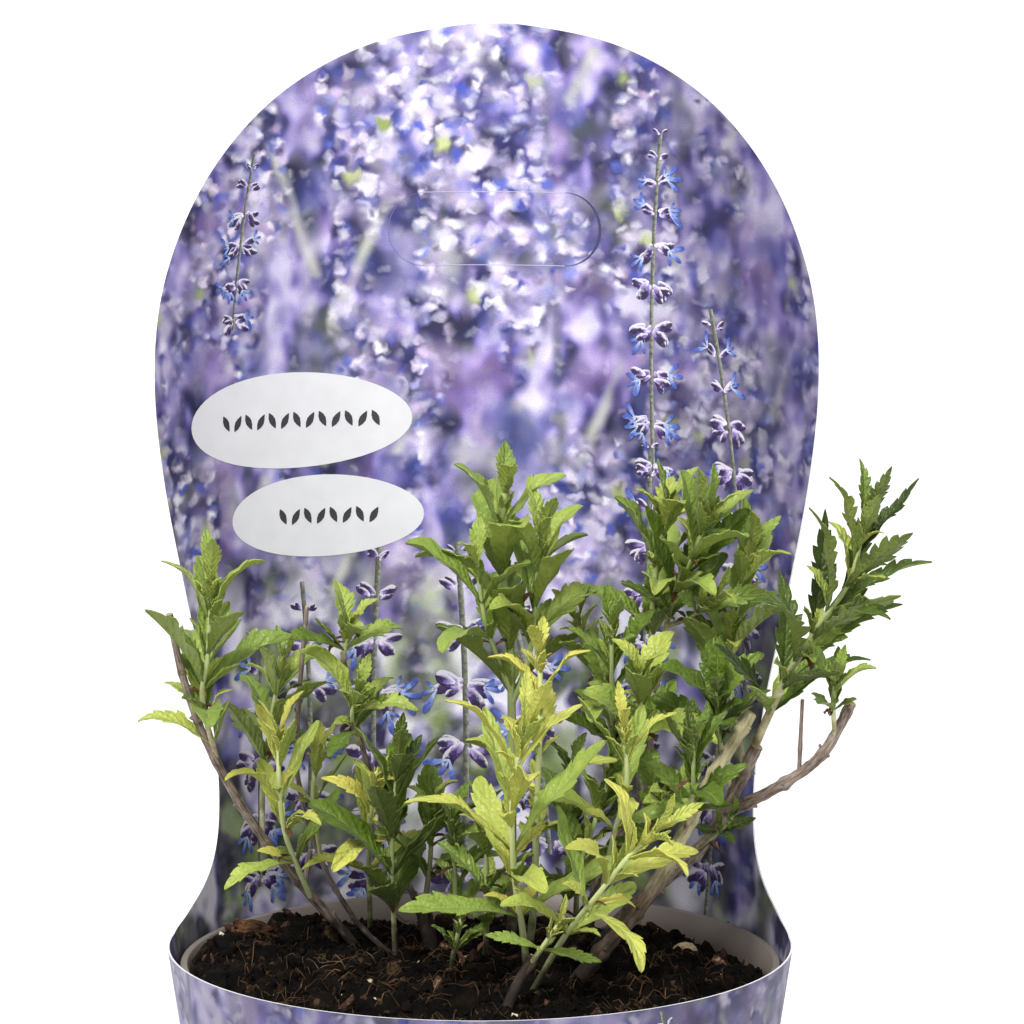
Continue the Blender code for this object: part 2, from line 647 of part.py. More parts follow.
def rough_ball(name, place, sizes, turn, group, look=None):
    """A lump: an icosphere, stretched and made uneven."""
    shape = bmesh.new()
    bmesh.ops.create_icosphere(shape, subdivisions=2, radius=MM)
    draw = random.Random(name.split(".")[0])
    for corner in shape.verts:
        corner.co *= draw.uniform(0.90, 1.08)
    stretch = Matrix.Diagonal((*sizes, 1.0))
    spin = Matrix.Rotation(math.radians(turn), 4, "Z")
    bmesh.ops.transform(shape, matrix=Matrix.Translation(place * MM) @ spin @ stretch,
                        verts=shape.verts)
    mesh = bpy.data.meshes.new(name)
    shape.to_mesh(mesh)
    shape.free()
    return add_object(name, mesh, group, look)


def make_loose(soil, group, cutters):
    """The stone and the bark chunk, each pressed into a hollow of its own in the soil."""
    looks = {
        "stone_pale": material("stone_pale", (0.42, 0.36, 0.24), 0.8),
        "bark_chunk": material("bark_chunk", (0.085, 0.042, 0.022), 0.95),
    }
    for name, x, y, sizes, turn in (STONE, BARK):
        place = Vector((x, y, soil_height(x, y) + 0.25 * sizes[2]))
        rough_ball(name, place, sizes, turn, group, looks[name])
        room = tuple(size + GAP / 0.9 for size in sizes)
        rough_ball(name + ".room", place, room, turn, cutters)
    boolean(soil, cutters, "DIFFERENCE")


def stem_room(points, radii, cutters, sides=WOOD_SIDES):
    """A cutter round a stem, larger than it by the gap all round and past both ends."""
    room = 1.2 * GAP
    foot = points[0] + (points[0] - points[1]).normalized() * room
    tip = points[-1] + (points[-1] - points[-2]).normalized() * room
    wide = [radius + room for radius in radii]
    tube("room", [foot] + points[1:-1] + [tip], wide, cutters, None, sides)


def make_branches(soil, group, cutters, extras):
    """The woody branches, each one solid, standing in plain holes in the soil."""
    for plant in BRANCHES:
        look = material(plant.name + "_bark", TONES[plant.tone], 0.85)
        for place, (route, ends) in enumerate(plant.limbs):
            points = [Vector(point) for point in route]
            target = group if place == 0 else extras
            made = tube(plant.name if place == 0 else "limb", points,
                        radii_along(points, ends), target, look if place == 0 else None)
            if place == 0:
                body = made
                stem_room(points[:3], radii_along(points, ends)[:3], cutters)
        if len(plant.limbs) > 1:
            boolean(body, extras, "UNION")
    boolean(soil, cutters, "DIFFERENCE")


def make_shoots(soil, group, cutters, extras):
    """The leafy shoots: stems and blades joined, each seated on its branch or in the soil."""
    leaves = plan_leaves()
    holes = new_collection("holes")
    for plant in SHOOTS:
        tone = "dark leaf" if plant.tone == "dark" else plant.tone
        look = material(plant.name + "_green", TONES[tone], 0.6)
        for place, part in enumerate(plant.stems):
            points = [Vector(point) for point in part.route]
            radii = radii_along(points, part.radii)
            made = tube(plant.name if place == 0 else "stem", points, radii,
                        group if place == 0 else extras, look if place == 0 else None, STEM_SIDES)
            if place == 0:
                body = made
                if plant.carrier == "soil":
                    stem_room(points[:3], radii[:3], holes, STEM_SIDES)
        for place, leaf in enumerate(leaves[plant.name]):
            blade("leaf.%02d" % place, leaf, extras)
        bpy.context.view_layer.update()
        boolean(body, extras, "UNION")
        for branch in BRANCHES:
            if branch.name == plant.carrier:
                for route, ends in branch.limbs:
                    points = [Vector(point) for point in route]
                    stem_room(points, radii_along(points, ends), cutters)
                boolean(body, cutters, "DIFFERENCE")
                drop_scrap(body)
    boolean(soil, holes, "DIFFERENCE")
    bpy.data.collections.remove(holes)


def drop_scrap(body):
    """Keep the largest loose piece of a mesh, and remove the scraps that a cut leaves."""
    shape = bmesh.new()
    shape.from_mesh(body.data)
    left = set(shape.verts)
    groups = []
    while left:
        found = [left.pop()]
        for corner in found:
            for edge in corner.link_edges:
                other = edge.other_vert(corner)
                if other in left:
                    left.remove(other)
                    found.append(other)
        groups.append(found)
    groups.sort(key=len)
    for scrap in groups[:-1]:
        bmesh.ops.delete(shape, geom=scrap, context="VERTS")
    shape.to_mesh(body.data)
    shape.free()


def main():
    clear_scene()
    group = new_collection("potted_russian_sage")
    cutters = new_collection("cutters")
    extras = new_collection("extras")
    make_pot(group, cutters)
    make_sleeve(group)
    soil = make_soil(group)
    make_loose(soil, group, cutters)
    make_branches(soil, group, cutters, extras)
    make_shoots(soil, group, cutters, extras)
    for part in group.objects:
        part.data.shade_flat()


main()
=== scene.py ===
"""Looks of the potted Russian sage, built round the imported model.

The object stands on z = 0 with its front towards -Y. Sizes and places are in millimetres
until MM turns them into Blender's metres.
"""

import json
import math
import random
from collections import namedtuple

import bmesh
import bpy
from mathutils import Matrix, Vector, noise
from mathutils.bvhtree import BVHTree

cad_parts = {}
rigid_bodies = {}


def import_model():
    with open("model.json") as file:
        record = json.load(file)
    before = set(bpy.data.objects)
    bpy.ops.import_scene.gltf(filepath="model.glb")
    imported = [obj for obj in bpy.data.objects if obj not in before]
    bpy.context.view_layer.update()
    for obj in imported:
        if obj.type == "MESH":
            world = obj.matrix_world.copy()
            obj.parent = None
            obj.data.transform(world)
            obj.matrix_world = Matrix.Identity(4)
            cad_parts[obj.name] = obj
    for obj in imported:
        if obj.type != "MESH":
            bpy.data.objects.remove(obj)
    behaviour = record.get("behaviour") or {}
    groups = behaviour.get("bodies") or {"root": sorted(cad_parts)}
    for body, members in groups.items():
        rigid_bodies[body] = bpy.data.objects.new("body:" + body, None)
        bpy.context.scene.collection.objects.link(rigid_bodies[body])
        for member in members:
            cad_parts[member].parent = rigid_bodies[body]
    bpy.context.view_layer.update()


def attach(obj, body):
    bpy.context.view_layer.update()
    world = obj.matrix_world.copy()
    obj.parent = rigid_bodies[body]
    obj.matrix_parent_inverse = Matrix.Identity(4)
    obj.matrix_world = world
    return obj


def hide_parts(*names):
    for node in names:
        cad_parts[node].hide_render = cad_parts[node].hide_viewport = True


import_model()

# The studio: a white paper floor, an even white surround and two broad soft lights, with the
# camera two metres in front of the pot, a little above the card and looking down at it.
MM = 0.001
CAMERA_PLACE = (10.1, -2000.0, 643.0)
CAMERA_PITCH = 9.94
LENS = 227.39
SENSOR = 36.0
FLOOR_HALF = 6000.0
FLOOR_Z = -0.05
SURROUND_STRENGTH = 0.46
# Each light: name, strength, how wide it looks, its turn from above towards x and y, in degrees.
LIGHTS = [("key", 3.1, 20, 32, -26), ("fill", 0.75, 60, 46, 38)]


def linear(colour):
    """The linear colour of an sRGB hex value."""
    parts = [int(colour[place:place + 2], 16) / 255 for place in (1, 3, 5)]
    parts = [part / 12.92 if part <= 0.04045 else ((part + 0.055) / 1.055) ** 2.4 for part in parts]
    return (*parts, 1.0)


def node(tree, kind, inputs=None, out=0, stops=None, **settings):
    """Add a node with its settings, and set or link its inputs. Returns one output, or the node.

    A kind without the word Node in it is a shader node, and a hex value is turned to a colour.
    """
    made = tree.nodes.new(kind if "Node" in kind else "ShaderNode" + kind)
    for name, value in settings.items():
        setattr(made, name, value)
    for place, value in (inputs or {}).items():
        if isinstance(value, bpy.types.NodeSocket):
            tree.links.new(value, made.inputs[place])
        else:
            made.inputs[place].default_value = linear(value) if str(value).startswith("#") else value
    if stops:
        marks = made.color_ramp.elements
        marks.remove(marks[1])
        marks[0].position, marks[0].color = stops[0][0], linear(stops[0][1])
        for place, colour in stops[1:]:
            marks.new(place).color = linear(colour)
    return made if out is None else made.outputs[out]


def new_material(name, **values):
    """A material whose plain values sit on its Principled shader's own sockets."""
    made = bpy.data.materials.new(name)
    made.use_nodes = True
    shader = made.node_tree.nodes["Principled BSDF"]
    for key, value in values.items():
        shader.inputs[key.replace("_", " ")].default_value = value
    return made, made.node_tree, shader


def new_piece(name, corners, faces, looks, edges=()):
    """A mesh object at the origin, from corners in millimetres, with its materials."""
    mesh = bpy.data.meshes.new(name)
    mesh.from_pydata([tuple(MM * part for part in corner) for corner in corners], edges, faces)
    for look in looks:
        mesh.materials.append(look)
    mesh.shade_smooth()
    made = bpy.data.objects.new(name, mesh)
    bpy.context.scene.collection.objects.link(made)
    return made


stage = bpy.context.scene
stage.view_settings.view_transform = "Standard"
camera_data = bpy.data.cameras.new("camera")
camera_data.lens = LENS
camera_data.sensor_width = SENSOR
camera_data.clip_end = 30.0
camera = bpy.data.objects.new("camera", camera_data)
camera.location = [MM * part for part in CAMERA_PLACE]
camera.rotation_euler = (math.radians(90 - CAMERA_PITCH), 0, 0)
stage.collection.objects.link(camera)
stage.camera = camera

paper, tree, shader = new_material("studio_paper", Roughness=0.9)
shade = node(tree, "TexNoise", {"Scale": 2.0, "Detail": 2.0})
tone = node(tree, "ValToRGB", {"Fac": shade}, stops=[(0.3, "#FAFAFA"), (0.7, "#FDFDFD")])
tree.links.new(tone, shader.inputs["Base Color"])
corners = [(FLOOR_HALF * x, FLOOR_HALF * y, FLOOR_Z) for x, y in ((-1, -1), (1, -1), (1, 1), (-1, 1))]
floor = new_piece("floor", corners, [(0, 1, 2, 3)], [paper])

surround = bpy.data.worlds.new("surround")
surround.use_nodes = True
surround.node_tree.nodes["Background"].inputs["Color"].default_value = (1.0, 1.0, 1.0, 1.0)
surround.node_tree.nodes["Background"].inputs["Strength"].default_value = SURROUND_STRENGTH
stage.world = surround
for name, power, width, tilt_x, tilt_y in LIGHTS:
    lamp_data = bpy.data.lights.new(name, "SUN")
    lamp_data.energy = power
    lamp_data.angle = math.radians(width)
    lamp = bpy.data.objects.new(name, lamp_data)
    lamp.rotation_euler = (math.radians(tilt_x), math.radians(tilt_y), 0)
    stage.collection.objects.link(lamp)

# The nursery pot: injection-moulded polypropylene with a stepped rim band and a flat floor with
# drain holes. The satin taupe plastic carries a fine mould texture and peat dust near the soil.
POT_HEIGHT = 148.0
RIM_RADIUS = 95.2
RIM_BAND = 10.0
RIM_LIP = 2.4
BODY_TOP_RADIUS = 92.0
BASE_RADIUS = 75.0
WALL = 1.6
POT_FLOOR = 2.4
POT_STEPS = 160
DRAIN_RADIUS = 5.0
DRAIN_CIRCLE = 58.0
DRAIN_COUNT = 6
# Heights where the dust begins and where it is at its most.
DUST_HEIGHTS = (146.5, 138.5)
# Edges that bend by more than this stay sharp.
SHARP_ANGLE = 0.6


def per_mm(size):
    """A texture's scale for a pattern of that size in millimetres on Object coordinates."""
    return 1.0 / (MM * size)


def pot_inner_radius(z):
    """Inner radius of the pot's wall at a height."""
    outer = BASE_RADIUS + (BODY_TOP_RADIUS - BASE_RADIUS) * z / (POT_HEIGHT - RIM_BAND)
    return outer - WALL


def turned(name, profile, steps, look):
    """A closed profile of radius and height, turned round Z, with its poles closed."""
    corners, faces, rows = [], [], []
    for radius, z in profile:
        if radius == 0:
            rows.append([len(corners)] * steps)
            corners.append((0.0, 0.0, z))
        else:
            rows.append(list(range(len(corners), len(corners) + steps)))
            corners += [(radius * math.cos(2 * math.pi * k / steps),
                         radius * math.sin(2 * math.pi * k / steps), z) for k in range(steps)]
    for low, high in zip(rows, rows[1:]):
        for k in range(steps):
            after = (k + 1) % steps
            face = [low[k], low[after], high[after], high[k]]
            face = [corner for place, corner in enumerate(face) if corner not in face[:place]]
            if len(face) > 2:
                faces.append(face)
    return new_piece(name, corners, faces, [look])


def face_outward(piece):
    """Turn every face of closed shells outward."""
    shape = bmesh.new()
    shape.from_mesh(piece.data)
    bmesh.ops.recalc_face_normals(shape, faces=shape.faces)
    shape.to_mesh(piece.data)
    shape.free()


def crease(piece, is_sharp):
    """Keep some edges of a smooth mesh sharp, by a rule of the edge's two corners, low one first."""
    marks = piece.data.attributes.new("sharp_edge", "BOOLEAN", "EDGE")
    for place, edge in enumerate(piece.data.edge_keys):
        marks.data[place].value = is_sharp(tuple(sorted(edge)))


plastic, tree, shader = new_material("pot_polypropylene", Roughness=0.42, IOR=1.49)
spot = node(tree, "TexCoord", out="Object")
grain = node(tree, "TexNoise", {"Vector": spot, "Scale": per_mm(0.9), "Detail": 3.0})
smear = node(tree, "TexNoise", {"Vector": spot, "Scale": per_mm(16), "Detail": 4.0})
height = node(tree, "SeparateXYZ", {"Vector": spot}, out="Z")
near = node(tree, "MapRange", {"Value": height, "From Min": DUST_HEIGHTS[0] * MM,
                               "From Max": DUST_HEIGHTS[1] * MM, "To Max": 0.75})
dust = node(tree, "Math", {0: smear, 1: near}, operation="MULTIPLY")
taupe = node(tree, "ValToRGB", {"Fac": smear}, stops=[(0.3, "#7A6F69"), (0.7, "#877C75")])
taupe = node(tree, "Mix", {0: dust, 6: taupe, 7: "#4A3C30"}, out=2, data_type="RGBA")
tree.links.new(taupe, shader.inputs["Base Color"])
bump = node(tree, "Bump", {"Height": grain, "Distance": 0.00008, "Strength": 0.5})
tree.links.new(bump, shader.inputs["Normal"])

step = POT_HEIGHT - RIM_BAND
profile = [
    (0.0, POT_FLOOR), (pot_inner_radius(POT_FLOOR) - 2.0, POT_FLOOR),
    (pot_inner_radius(POT_FLOOR) - 0.3, POT_FLOOR + 1.4), (pot_inner_radius(step), step),
    (RIM_RADIUS - RIM_LIP, POT_HEIGHT - 0.3), (RIM_RADIUS - RIM_LIP + 0.3, POT_HEIGHT),
    (RIM_RADIUS - 0.3, POT_HEIGHT), (RIM_RADIUS, POT_HEIGHT - 0.3),
    (RIM_RADIUS - 0.5, step + 1.2), (RIM_RADIUS - 1.0, step + 0.5),
    (BODY_TOP_RADIUS + 0.3, step + 0.1), (BODY_TOP_RADIUS - 0.1, step - 0.6),
    (BASE_RADIUS + 0.2, 1.6), (BASE_RADIUS - 0.2, 0.5), (BASE_RADIUS - 0.9, 0.0), (0.0, 0.0),
]
pot = turned("nursery_pot", profile, POT_STEPS, plastic)
face_outward(pot)
drills = bpy.data.collections.new("drills")
stage.collection.children.link(drills)
for hole in range(DRAIN_COUNT):
    turn = 2 * math.pi * (hole + 0.5) / DRAIN_COUNT
    shape = bmesh.new()
    bmesh.ops.create_cone(shape, cap_ends=True, segments=28, radius1=DRAIN_RADIUS * MM,
                          radius2=DRAIN_RADIUS * MM, depth=5 * POT_FLOOR * MM)
    place = Vector((DRAIN_CIRCLE * math.cos(turn), DRAIN_CIRCLE * math.sin(turn), 0)) * MM
    bmesh.ops.translate(shape, verts=shape.verts, vec=place)
    drill_mesh = bpy.data.meshes.new("drill")
    shape.to_mesh(drill_mesh)
    shape.free()
    drills.objects.link(bpy.data.objects.new("drill", drill_mesh))
bore = pot.modifiers.new("drain", "BOOLEAN")
bore.operand_type = "COLLECTION"
bore.collection = drills
bore.operation = "DIFFERENCE"
bored = bpy.data.meshes.new_from_object(pot.evaluated_get(bpy.context.evaluated_depsgraph_get()))
pot.modifiers.remove(bore)
pot.data = bored
for drill in list(drills.objects):
    bpy.data.objects.remove(drill, do_unlink=True)
bpy.data.collections.remove(drills)
faces_at = {edge: [] for edge in pot.data.edge_keys}
for face in pot.data.polygons:
    for edge in face.edge_keys:
        faces_at[edge].append(face.normal)


def bent_sharply(edge):
    """Whether the two faces beside an edge of the pot meet at a clear angle."""
    sides = faces_at[edge]
    return len(sides) == 2 and sides[0].angle(sides[1], 0.0) > SHARP_ANGLE


crease(pot, bent_sharply)
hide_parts("pot")
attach(pot, "root")

# The soil: dark peat, heaped a little towards the middle, loose and crumbly on top, with fibres,
# bark chips and a few pale grains. The heap is one body; crumbs and fibres lie on it.
GAP = 0.3
SOIL_MIDDLE = 145.5
SOIL_WALL = 138.5
# Lumps and dips of the heap: place, rise and radius.
SOIL_LUMPS = [
    (-80, 24, 7.0, 13), (-56, 60, 5.0, 16), (-84, -12, 4.0, 16), (58, 50, 3.5, 18),
    (84, 6, 4.5, 12), (-30, -62, -2.5, 22), (46, -58, -2.0, 20), (0, -84, 3.0, 20),
]
SOIL_RINGS = 74
SOIL_STEPS = 210
# The crumble of the surface: size and depth of each coarseness.
CRUMBLE = ((13.0, 2.6), (5.5, 2.8), (2.4, 1.5))
PIT_SIZE, PIT_DEPTH, PIT_WIDTH = 8.0, 3.0, 0.16
# The bank at the left: its rise, and its middle and width as angles round the pot.
BANK_RISE, BANK_MIDDLE, BANK_WIDTH = 9.0, 0.10, 0.75


def soil_height(x, y):
    """Height of the soil surface that the solids have: a low heap with lumps and low waves."""
    reach = min(1.0, math.hypot(x, y) / pot_inner_radius(SOIL_WALL))
    height = SOIL_MIDDLE + (SOIL_WALL - SOIL_MIDDLE) * reach ** 2
    for lump_x, lump_y, rise, radius in SOIL_LUMPS:
        away = math.hypot(x - lump_x, y - lump_y) / radius
        height += rise * math.exp(-away * away)
    height += 0.7 * math.sin(0.31 * x + 1.3) * math.cos(0.27 * y)
    return height + 0.5 * math.sin(0.83 * x - 0.71 * y)


def crumbled(x, y):
    """Height of the visible surface: the heap, banked up at the left, with clods and pits."""
    rough = 0.0
    for size, depth in CRUMBLE:
        rough += depth * noise.noise(Vector((x / size, y / size, size)))
    pits = abs(noise.noise(Vector((x / PIT_SIZE, y / PIT_SIZE, 40.0))))
    rough -= PIT_DEPTH * max(0.0, 1.0 - pits / PIT_WIDTH)
    away = (math.atan2(y, -x) - BANK_MIDDLE) / BANK_WIDTH
    bank = BANK_RISE * math.exp(-away * away) * max(0.0, math.hypot(x, y) / 90.0) ** 3
    return min(soil_height(x, y) + rough + bank, POT_HEIGHT + 1.0)


def new_tree(name, sizes):
    """A geometry tree with a geometry input, named inputs for its sizes, and one output."""
    made = bpy.data.node_groups.new(name, "GeometryNodeTree")
    made.interface.new_socket("Geometry", in_out="INPUT", socket_type="NodeSocketGeometry")
    for size, kind in sizes:
        made.interface.new_socket(size, in_out="INPUT", socket_type="NodeSocket" + kind)
    made.interface.new_socket("Geometry", in_out="OUTPUT", socket_type="NodeSocketGeometry")
    return made, made.nodes.new("NodeGroupInput").outputs, made.nodes.new("NodeGroupOutput").inputs


def grown(name, source, made_by, values, keep=False):
    """Run a geometry tree on an object, inputs set by their sockets, and keep a plain mesh."""
    change = source.modifiers.new("tree", "NODES")
    change.node_group = made_by
    for socket in made_by.interface.items_tree:
        if socket.in_out == "INPUT" and socket.name in values:
            change[socket.identifier] = values[socket.name]
    bpy.context.view_layer.update()
    graph = bpy.context.evaluated_depsgraph_get()
    mesh = bpy.data.meshes.new_from_object(source.evaluated_get(graph),
                                           preserve_all_data_layers=True, depsgraph=graph)
    source.modifiers.remove(change)
    if not keep:
        bpy.data.objects.remove(source, do_unlink=True)
    made = bpy.data.objects.new(name, mesh)
    stage.collection.objects.link(made)
    return made


def peat_material(name, stops, size):
    """Damp crumbled matter: dark, matt, each crumb a little lighter or redder than the next."""
    made, tree, shader = new_material(name, Roughness=0.92, Specular_IOR_Level=0.12)
    spot = node(tree, "TexCoord", out="Object")
    chance = node(tree, "Attribute", out="Fac", attribute_name="chance")
    fine = node(tree, "TexNoise", {"Vector": spot, "Scale": per_mm(size), "Detail": 6.0, "Roughness": 0.65})
    broad = node(tree, "TexNoise", {"Vector": spot, "Scale": per_mm(9), "Detail": 2.0})
    patch = node(tree, "Math", {0: broad, 1: 1.1, 2: -0.55}, operation="MULTIPLY_ADD")
    mixed = node(tree, "Math", {0: chance, 1: 0.42, 2: fine}, operation="MULTIPLY_ADD")
    mixed = node(tree, "Math", {0: mixed, 1: patch}, operation="ADD")
    colour = node(tree, "ValToRGB", {"Fac": mixed}, stops=stops)
    tree.links.new(colour, shader.inputs["Base Color"])
    bump = node(tree, "Bump", {"Height": fine, "Distance": 0.0005, "Strength": 0.8})
    tree.links.new(bump, shader.inputs["Normal"])
    return made


peat = peat_material("peat", [(0.40, "#030201"), (0.62, "#0F0A06"), (0.92, "#20160E"),
                              (1.16, "#4A3827")], 1.8)
top_radius = pot_inner_radius(SOIL_WALL) - GAP
corners = [(0.0, 0.0, crumbled(0, 0))]
faces = [(0, 1 + k, 1 + (k + 1) % SOIL_STEPS) for k in range(SOIL_STEPS)]
for ring in range(1, SOIL_RINGS + 1):
    for k in range(SOIL_STEPS):
        turn = 2 * math.pi * k / SOIL_STEPS
        x = top_radius * ring / SOIL_RINGS * math.cos(turn)
        y = top_radius * ring / SOIL_RINGS * math.sin(turn)
        corners.append((x, y, crumbled(x, y)))
for ring in range(SOIL_RINGS - 1):
    for k in range(SOIL_STEPS):
        a, b = 1 + ring * SOIL_STEPS + k, 1 + ring * SOIL_STEPS + (k + 1) % SOIL_STEPS
        faces.append((a, a + SOIL_STEPS, b + SOIL_STEPS, b))
soil_top = new_piece("soil_top", corners, faces, [peat])
rim = 1 + (SOIL_RINGS - 1) * SOIL_STEPS
low = rim + SOIL_STEPS
base = pot_inner_radius(POT_FLOOR + GAP) - GAP
for k in range(SOIL_STEPS):
    turn, after = 2 * math.pi * k / SOIL_STEPS, (k + 1) % SOIL_STEPS
    corners.append((base * math.cos(turn), base * math.sin(turn), POT_FLOOR + GAP))
    faces.append((rim + after, rim + k, low + k, low + after))
faces.append([low + k for k in reversed(range(SOIL_STEPS))])
soil = new_piece("peat_soil", corners, faces, [peat])
face_outward(soil)
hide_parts("soil")
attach(soil, "root")

# Crumbs, chips and grains are one lump, roughened, stretched and strewn by chance on the top.
strewn, given, result = new_tree("strewn_on_soil", [
    ("Density", "Float"), ("Smallest", "Float"), ("Largest", "Float"), ("Stretch", "Vector"),
    ("Roundness", "Int"), ("Seed", "Int"), ("Material", "Material")])
points = node(strewn, "GeometryNodeDistributePointsOnFaces", {
    "Mesh": given["Geometry"], "Density": given["Density"], "Seed": given["Seed"]}, out="Points")
lump = node(strewn, "GeometryNodeMeshIcoSphere", {"Radius": 1.0, "Subdivisions": given["Roundness"]})
spin = node(strewn, "FunctionNodeRandomValue", {
    0: (0.0, 0.0, 0.0), 1: (6.28, 6.28, 6.28), "Seed": given["Seed"]}, data_type="FLOAT_VECTOR")
small = node(strewn, "FunctionNodeRandomValue", {2: 0.0, 3: 1.0, "Seed": 7}, out=1)
small = node(strewn, "Math", {0: small, 1: 2.2}, operation="POWER")
size = node(strewn, "MapRange", {"Value": small, "To Min": given["Smallest"], "To Max": given["Largest"]})
size = node(strewn, "VectorMath", {0: given["Stretch"], "Scale": size}, operation="SCALE")
laid = node(strewn, "GeometryNodeInstanceOnPoints", {
    "Points": points, "Instance": lump, "Rotation": spin, "Scale": size})
chance = node(strewn, "FunctionNodeRandomValue", {2: 0.0, 3: 1.0, "Seed": 11}, out=1)
laid = node(strewn, "GeometryNodeStoreNamedAttribute", {
    "Geometry": laid, "Name": "chance", "Value": chance}, domain="INSTANCE")
laid = node(strewn, "GeometryNodeRealizeInstances", {"Geometry": laid})
place = node(strewn, "GeometryNodeInputPosition")
rough = node(strewn, "TexNoise", {"Vector": place, "Scale": per_mm(1.6), "Detail": 1.0}, out="Color")
rough = node(strewn, "VectorMath", {0: rough, 1: (0.5, 0.5, 0.5)}, operation="SUBTRACT")
rough = node(strewn, "VectorMath", {0: rough, "Scale": 3.8 * MM}, operation="SCALE")
laid = node(strewn, "GeometryNodeSetPosition", {"Geometry": laid, "Offset": rough})
laid = node(strewn, "GeometryNodeSetMaterial", {"Geometry": laid, "Material": given["Material"]})
strewn.links.new(laid, result[0])

chip_bark = peat_material("bark_mulch", [(0.4, "#140C08"), (0.7, "#33221A"), (0.95, "#60473A"),
                                         (1.12, "#9C8168")], 1.2)
grain_pale = peat_material("pale_grain", [(0.3, "#8E8464"), (0.7, "#C6BC98"), (1.0, "#E4DCC4")], 1.0)
# Each kind: name, pieces a square metre, smallest and largest half size, stretch, roundness, seed.
STREWN = [
    ("peat_clods", 2600, 2.2, 5.6, (1.0, 0.68, 0.48), 3, 17, peat, "peat"),
    ("peat_crumbs", 15000, 1.0, 2.8, (1.0, 0.62, 0.5), 2, 3, peat, "peat"),
    ("peat_dust", 105000, 0.2, 1.3, (1.0, 0.5, 0.45), 1, 5, peat, "peat"),
    ("bark_chips", 4200, 1.2, 5.5, (1.0, 0.26, 0.16), 2, 9, chip_bark, "bark_mulch"),
    ("pale_grains", 700, 0.4, 1.0, (1.0, 0.8, 0.8), 2, 12, grain_pale, "pebble"),
]
for name, density, least, most, stretch, round_steps, seed, look, slot in STREWN:
    strewn_piece = grown(name, soil_top, strewn, {
        "Density": density, "Smallest": least * MM, "Largest": most * MM, "Stretch": stretch,
        "Roundness": round_steps, "Seed": seed, "Material": look}, keep=True)
    strewn_piece.data.shade_smooth()
    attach(strewn_piece, "root")
bpy.data.objects.remove(soil_top, do_unlink=True)

# Tubes along routes: woody branches, green stems, roots and fibres are all drawn so. A route is a
# line of corners with a radius, and the tree lays a ring of surface round it and roughens it.
tubes, given, result = new_tree("tube_along_route", [
    ("Sides", "Int"), ("Roughness", "Float"), ("Grain", "Float"), ("Material", "Material")])
thick = node(tubes, "GeometryNodeInputNamedAttribute", {"Name": "thick"}, data_type="FLOAT")
routes = node(tubes, "GeometryNodeMeshToCurve", {"Mesh": given["Geometry"]})
ring = node(tubes, "GeometryNodeCurvePrimitiveCircle", {"Resolution": given["Sides"], "Radius": 1.0})
far = node(tubes, "GeometryNodeSplineParameter", out="Length")
routes = node(tubes, "GeometryNodeStoreNamedAttribute", {"Geometry": routes, "Name": "along", "Value": far})
place = node(tubes, "GeometryNodeInputPosition")
ring = node(tubes, "GeometryNodeStoreNamedAttribute", {
    "Geometry": ring, "Name": "ring", "Value": place}, data_type="FLOAT_VECTOR")
skin = node(tubes, "GeometryNodeCurveToMesh", {
    "Curve": routes, "Profile Curve": ring, "Scale": thick, "Fill Caps": True})
squashed = node(tubes, "VectorMath", {0: place, 1: (1.0, 1.0, 0.35)}, operation="MULTIPLY")
rough = node(tubes, "TexNoise", {"Vector": squashed, "Scale": given["Grain"], "Detail": 2.0})
rough = node(tubes, "Math", {0: rough, 1: 0.5}, operation="SUBTRACT")
for factor in (given["Roughness"], thick):
    rough = node(tubes, "Math", {0: rough, 1: factor}, operation="MULTIPLY")
outward = node(tubes, "GeometryNodeInputNormal")
rough = node(tubes, "VectorMath", {0: outward, "Scale": rough}, operation="SCALE")
skin = node(tubes, "GeometryNodeSetPosition", {"Geometry": skin, "Offset": rough})
skin = node(tubes, "GeometryNodeSetMaterial", {"Geometry": skin, "Material": given["Material"]})
tubes.links.new(skin, result[0])


def curved(before, a, b, after, t):
    """A smooth curve's value at a part t of the way from a to b, given the values on both sides."""
    return 0.5 * (2 * a + (b - before) * t + (2 * before - 5 * a + 4 * b - after) * t ** 2
                  + (3 * a - before - 3 * b + after) * t ** 3)


def smooth_route(route, radii, spacing):
    """Spots with radii on a curve through a route's points, the radius narrowing along it."""
    points = [Vector(point) for point in route]
    ghost = [2 * points[0] - points[1]] + points + [2 * points[-1] - points[-2]]
    total = sum((b - a).length for a, b in zip(points, points[1:]))
    line, done = [], 0.0
    for before, a, b, after in zip(ghost, ghost[1:], ghost[2:], ghost[3:]):
        size = (b - a).length
        steps = max(2, round(size / spacing))
        for k in range(steps):
            part = (done + size * k / steps) / total
            line.append((curved(before, a, b, after, k / steps), radii[0] + (radii[1] - radii[0]) * part))
        done += size
    line.append((points[-1], radii[1]))
    return line


def carry(piece, key, values, kind="FLOAT"):
    """Give each point of a piece a number or a vector, for its tree or material to read."""
    kept = piece.data.attributes.new(key, kind, "POINT").data
    kept.foreach_set("value" if kind == "FLOAT" else "vector", values)


def tube_piece(name, lines, sides, rough, grain, look):
    """One piece of tubes from lines of points with radii, all in millimetres."""
    corners, edges, thick = [], [], []
    for line in lines:
        shift = len(corners)
        corners += [spot for spot, radius in line]
        thick += [radius * MM for spot, radius in line]
        edges += [(shift + k, shift + k + 1) for k in range(len(line) - 1)]
    source = new_piece(name + "_route", corners, [], [look], edges)
    carry(source, "thick", thick)
    made = grown(name, source, tubes, {
        "Sides": sides, "Roughness": rough, "Grain": grain, "Material": look})
    face_outward(made)
    made.data.shade_smooth()
    return made


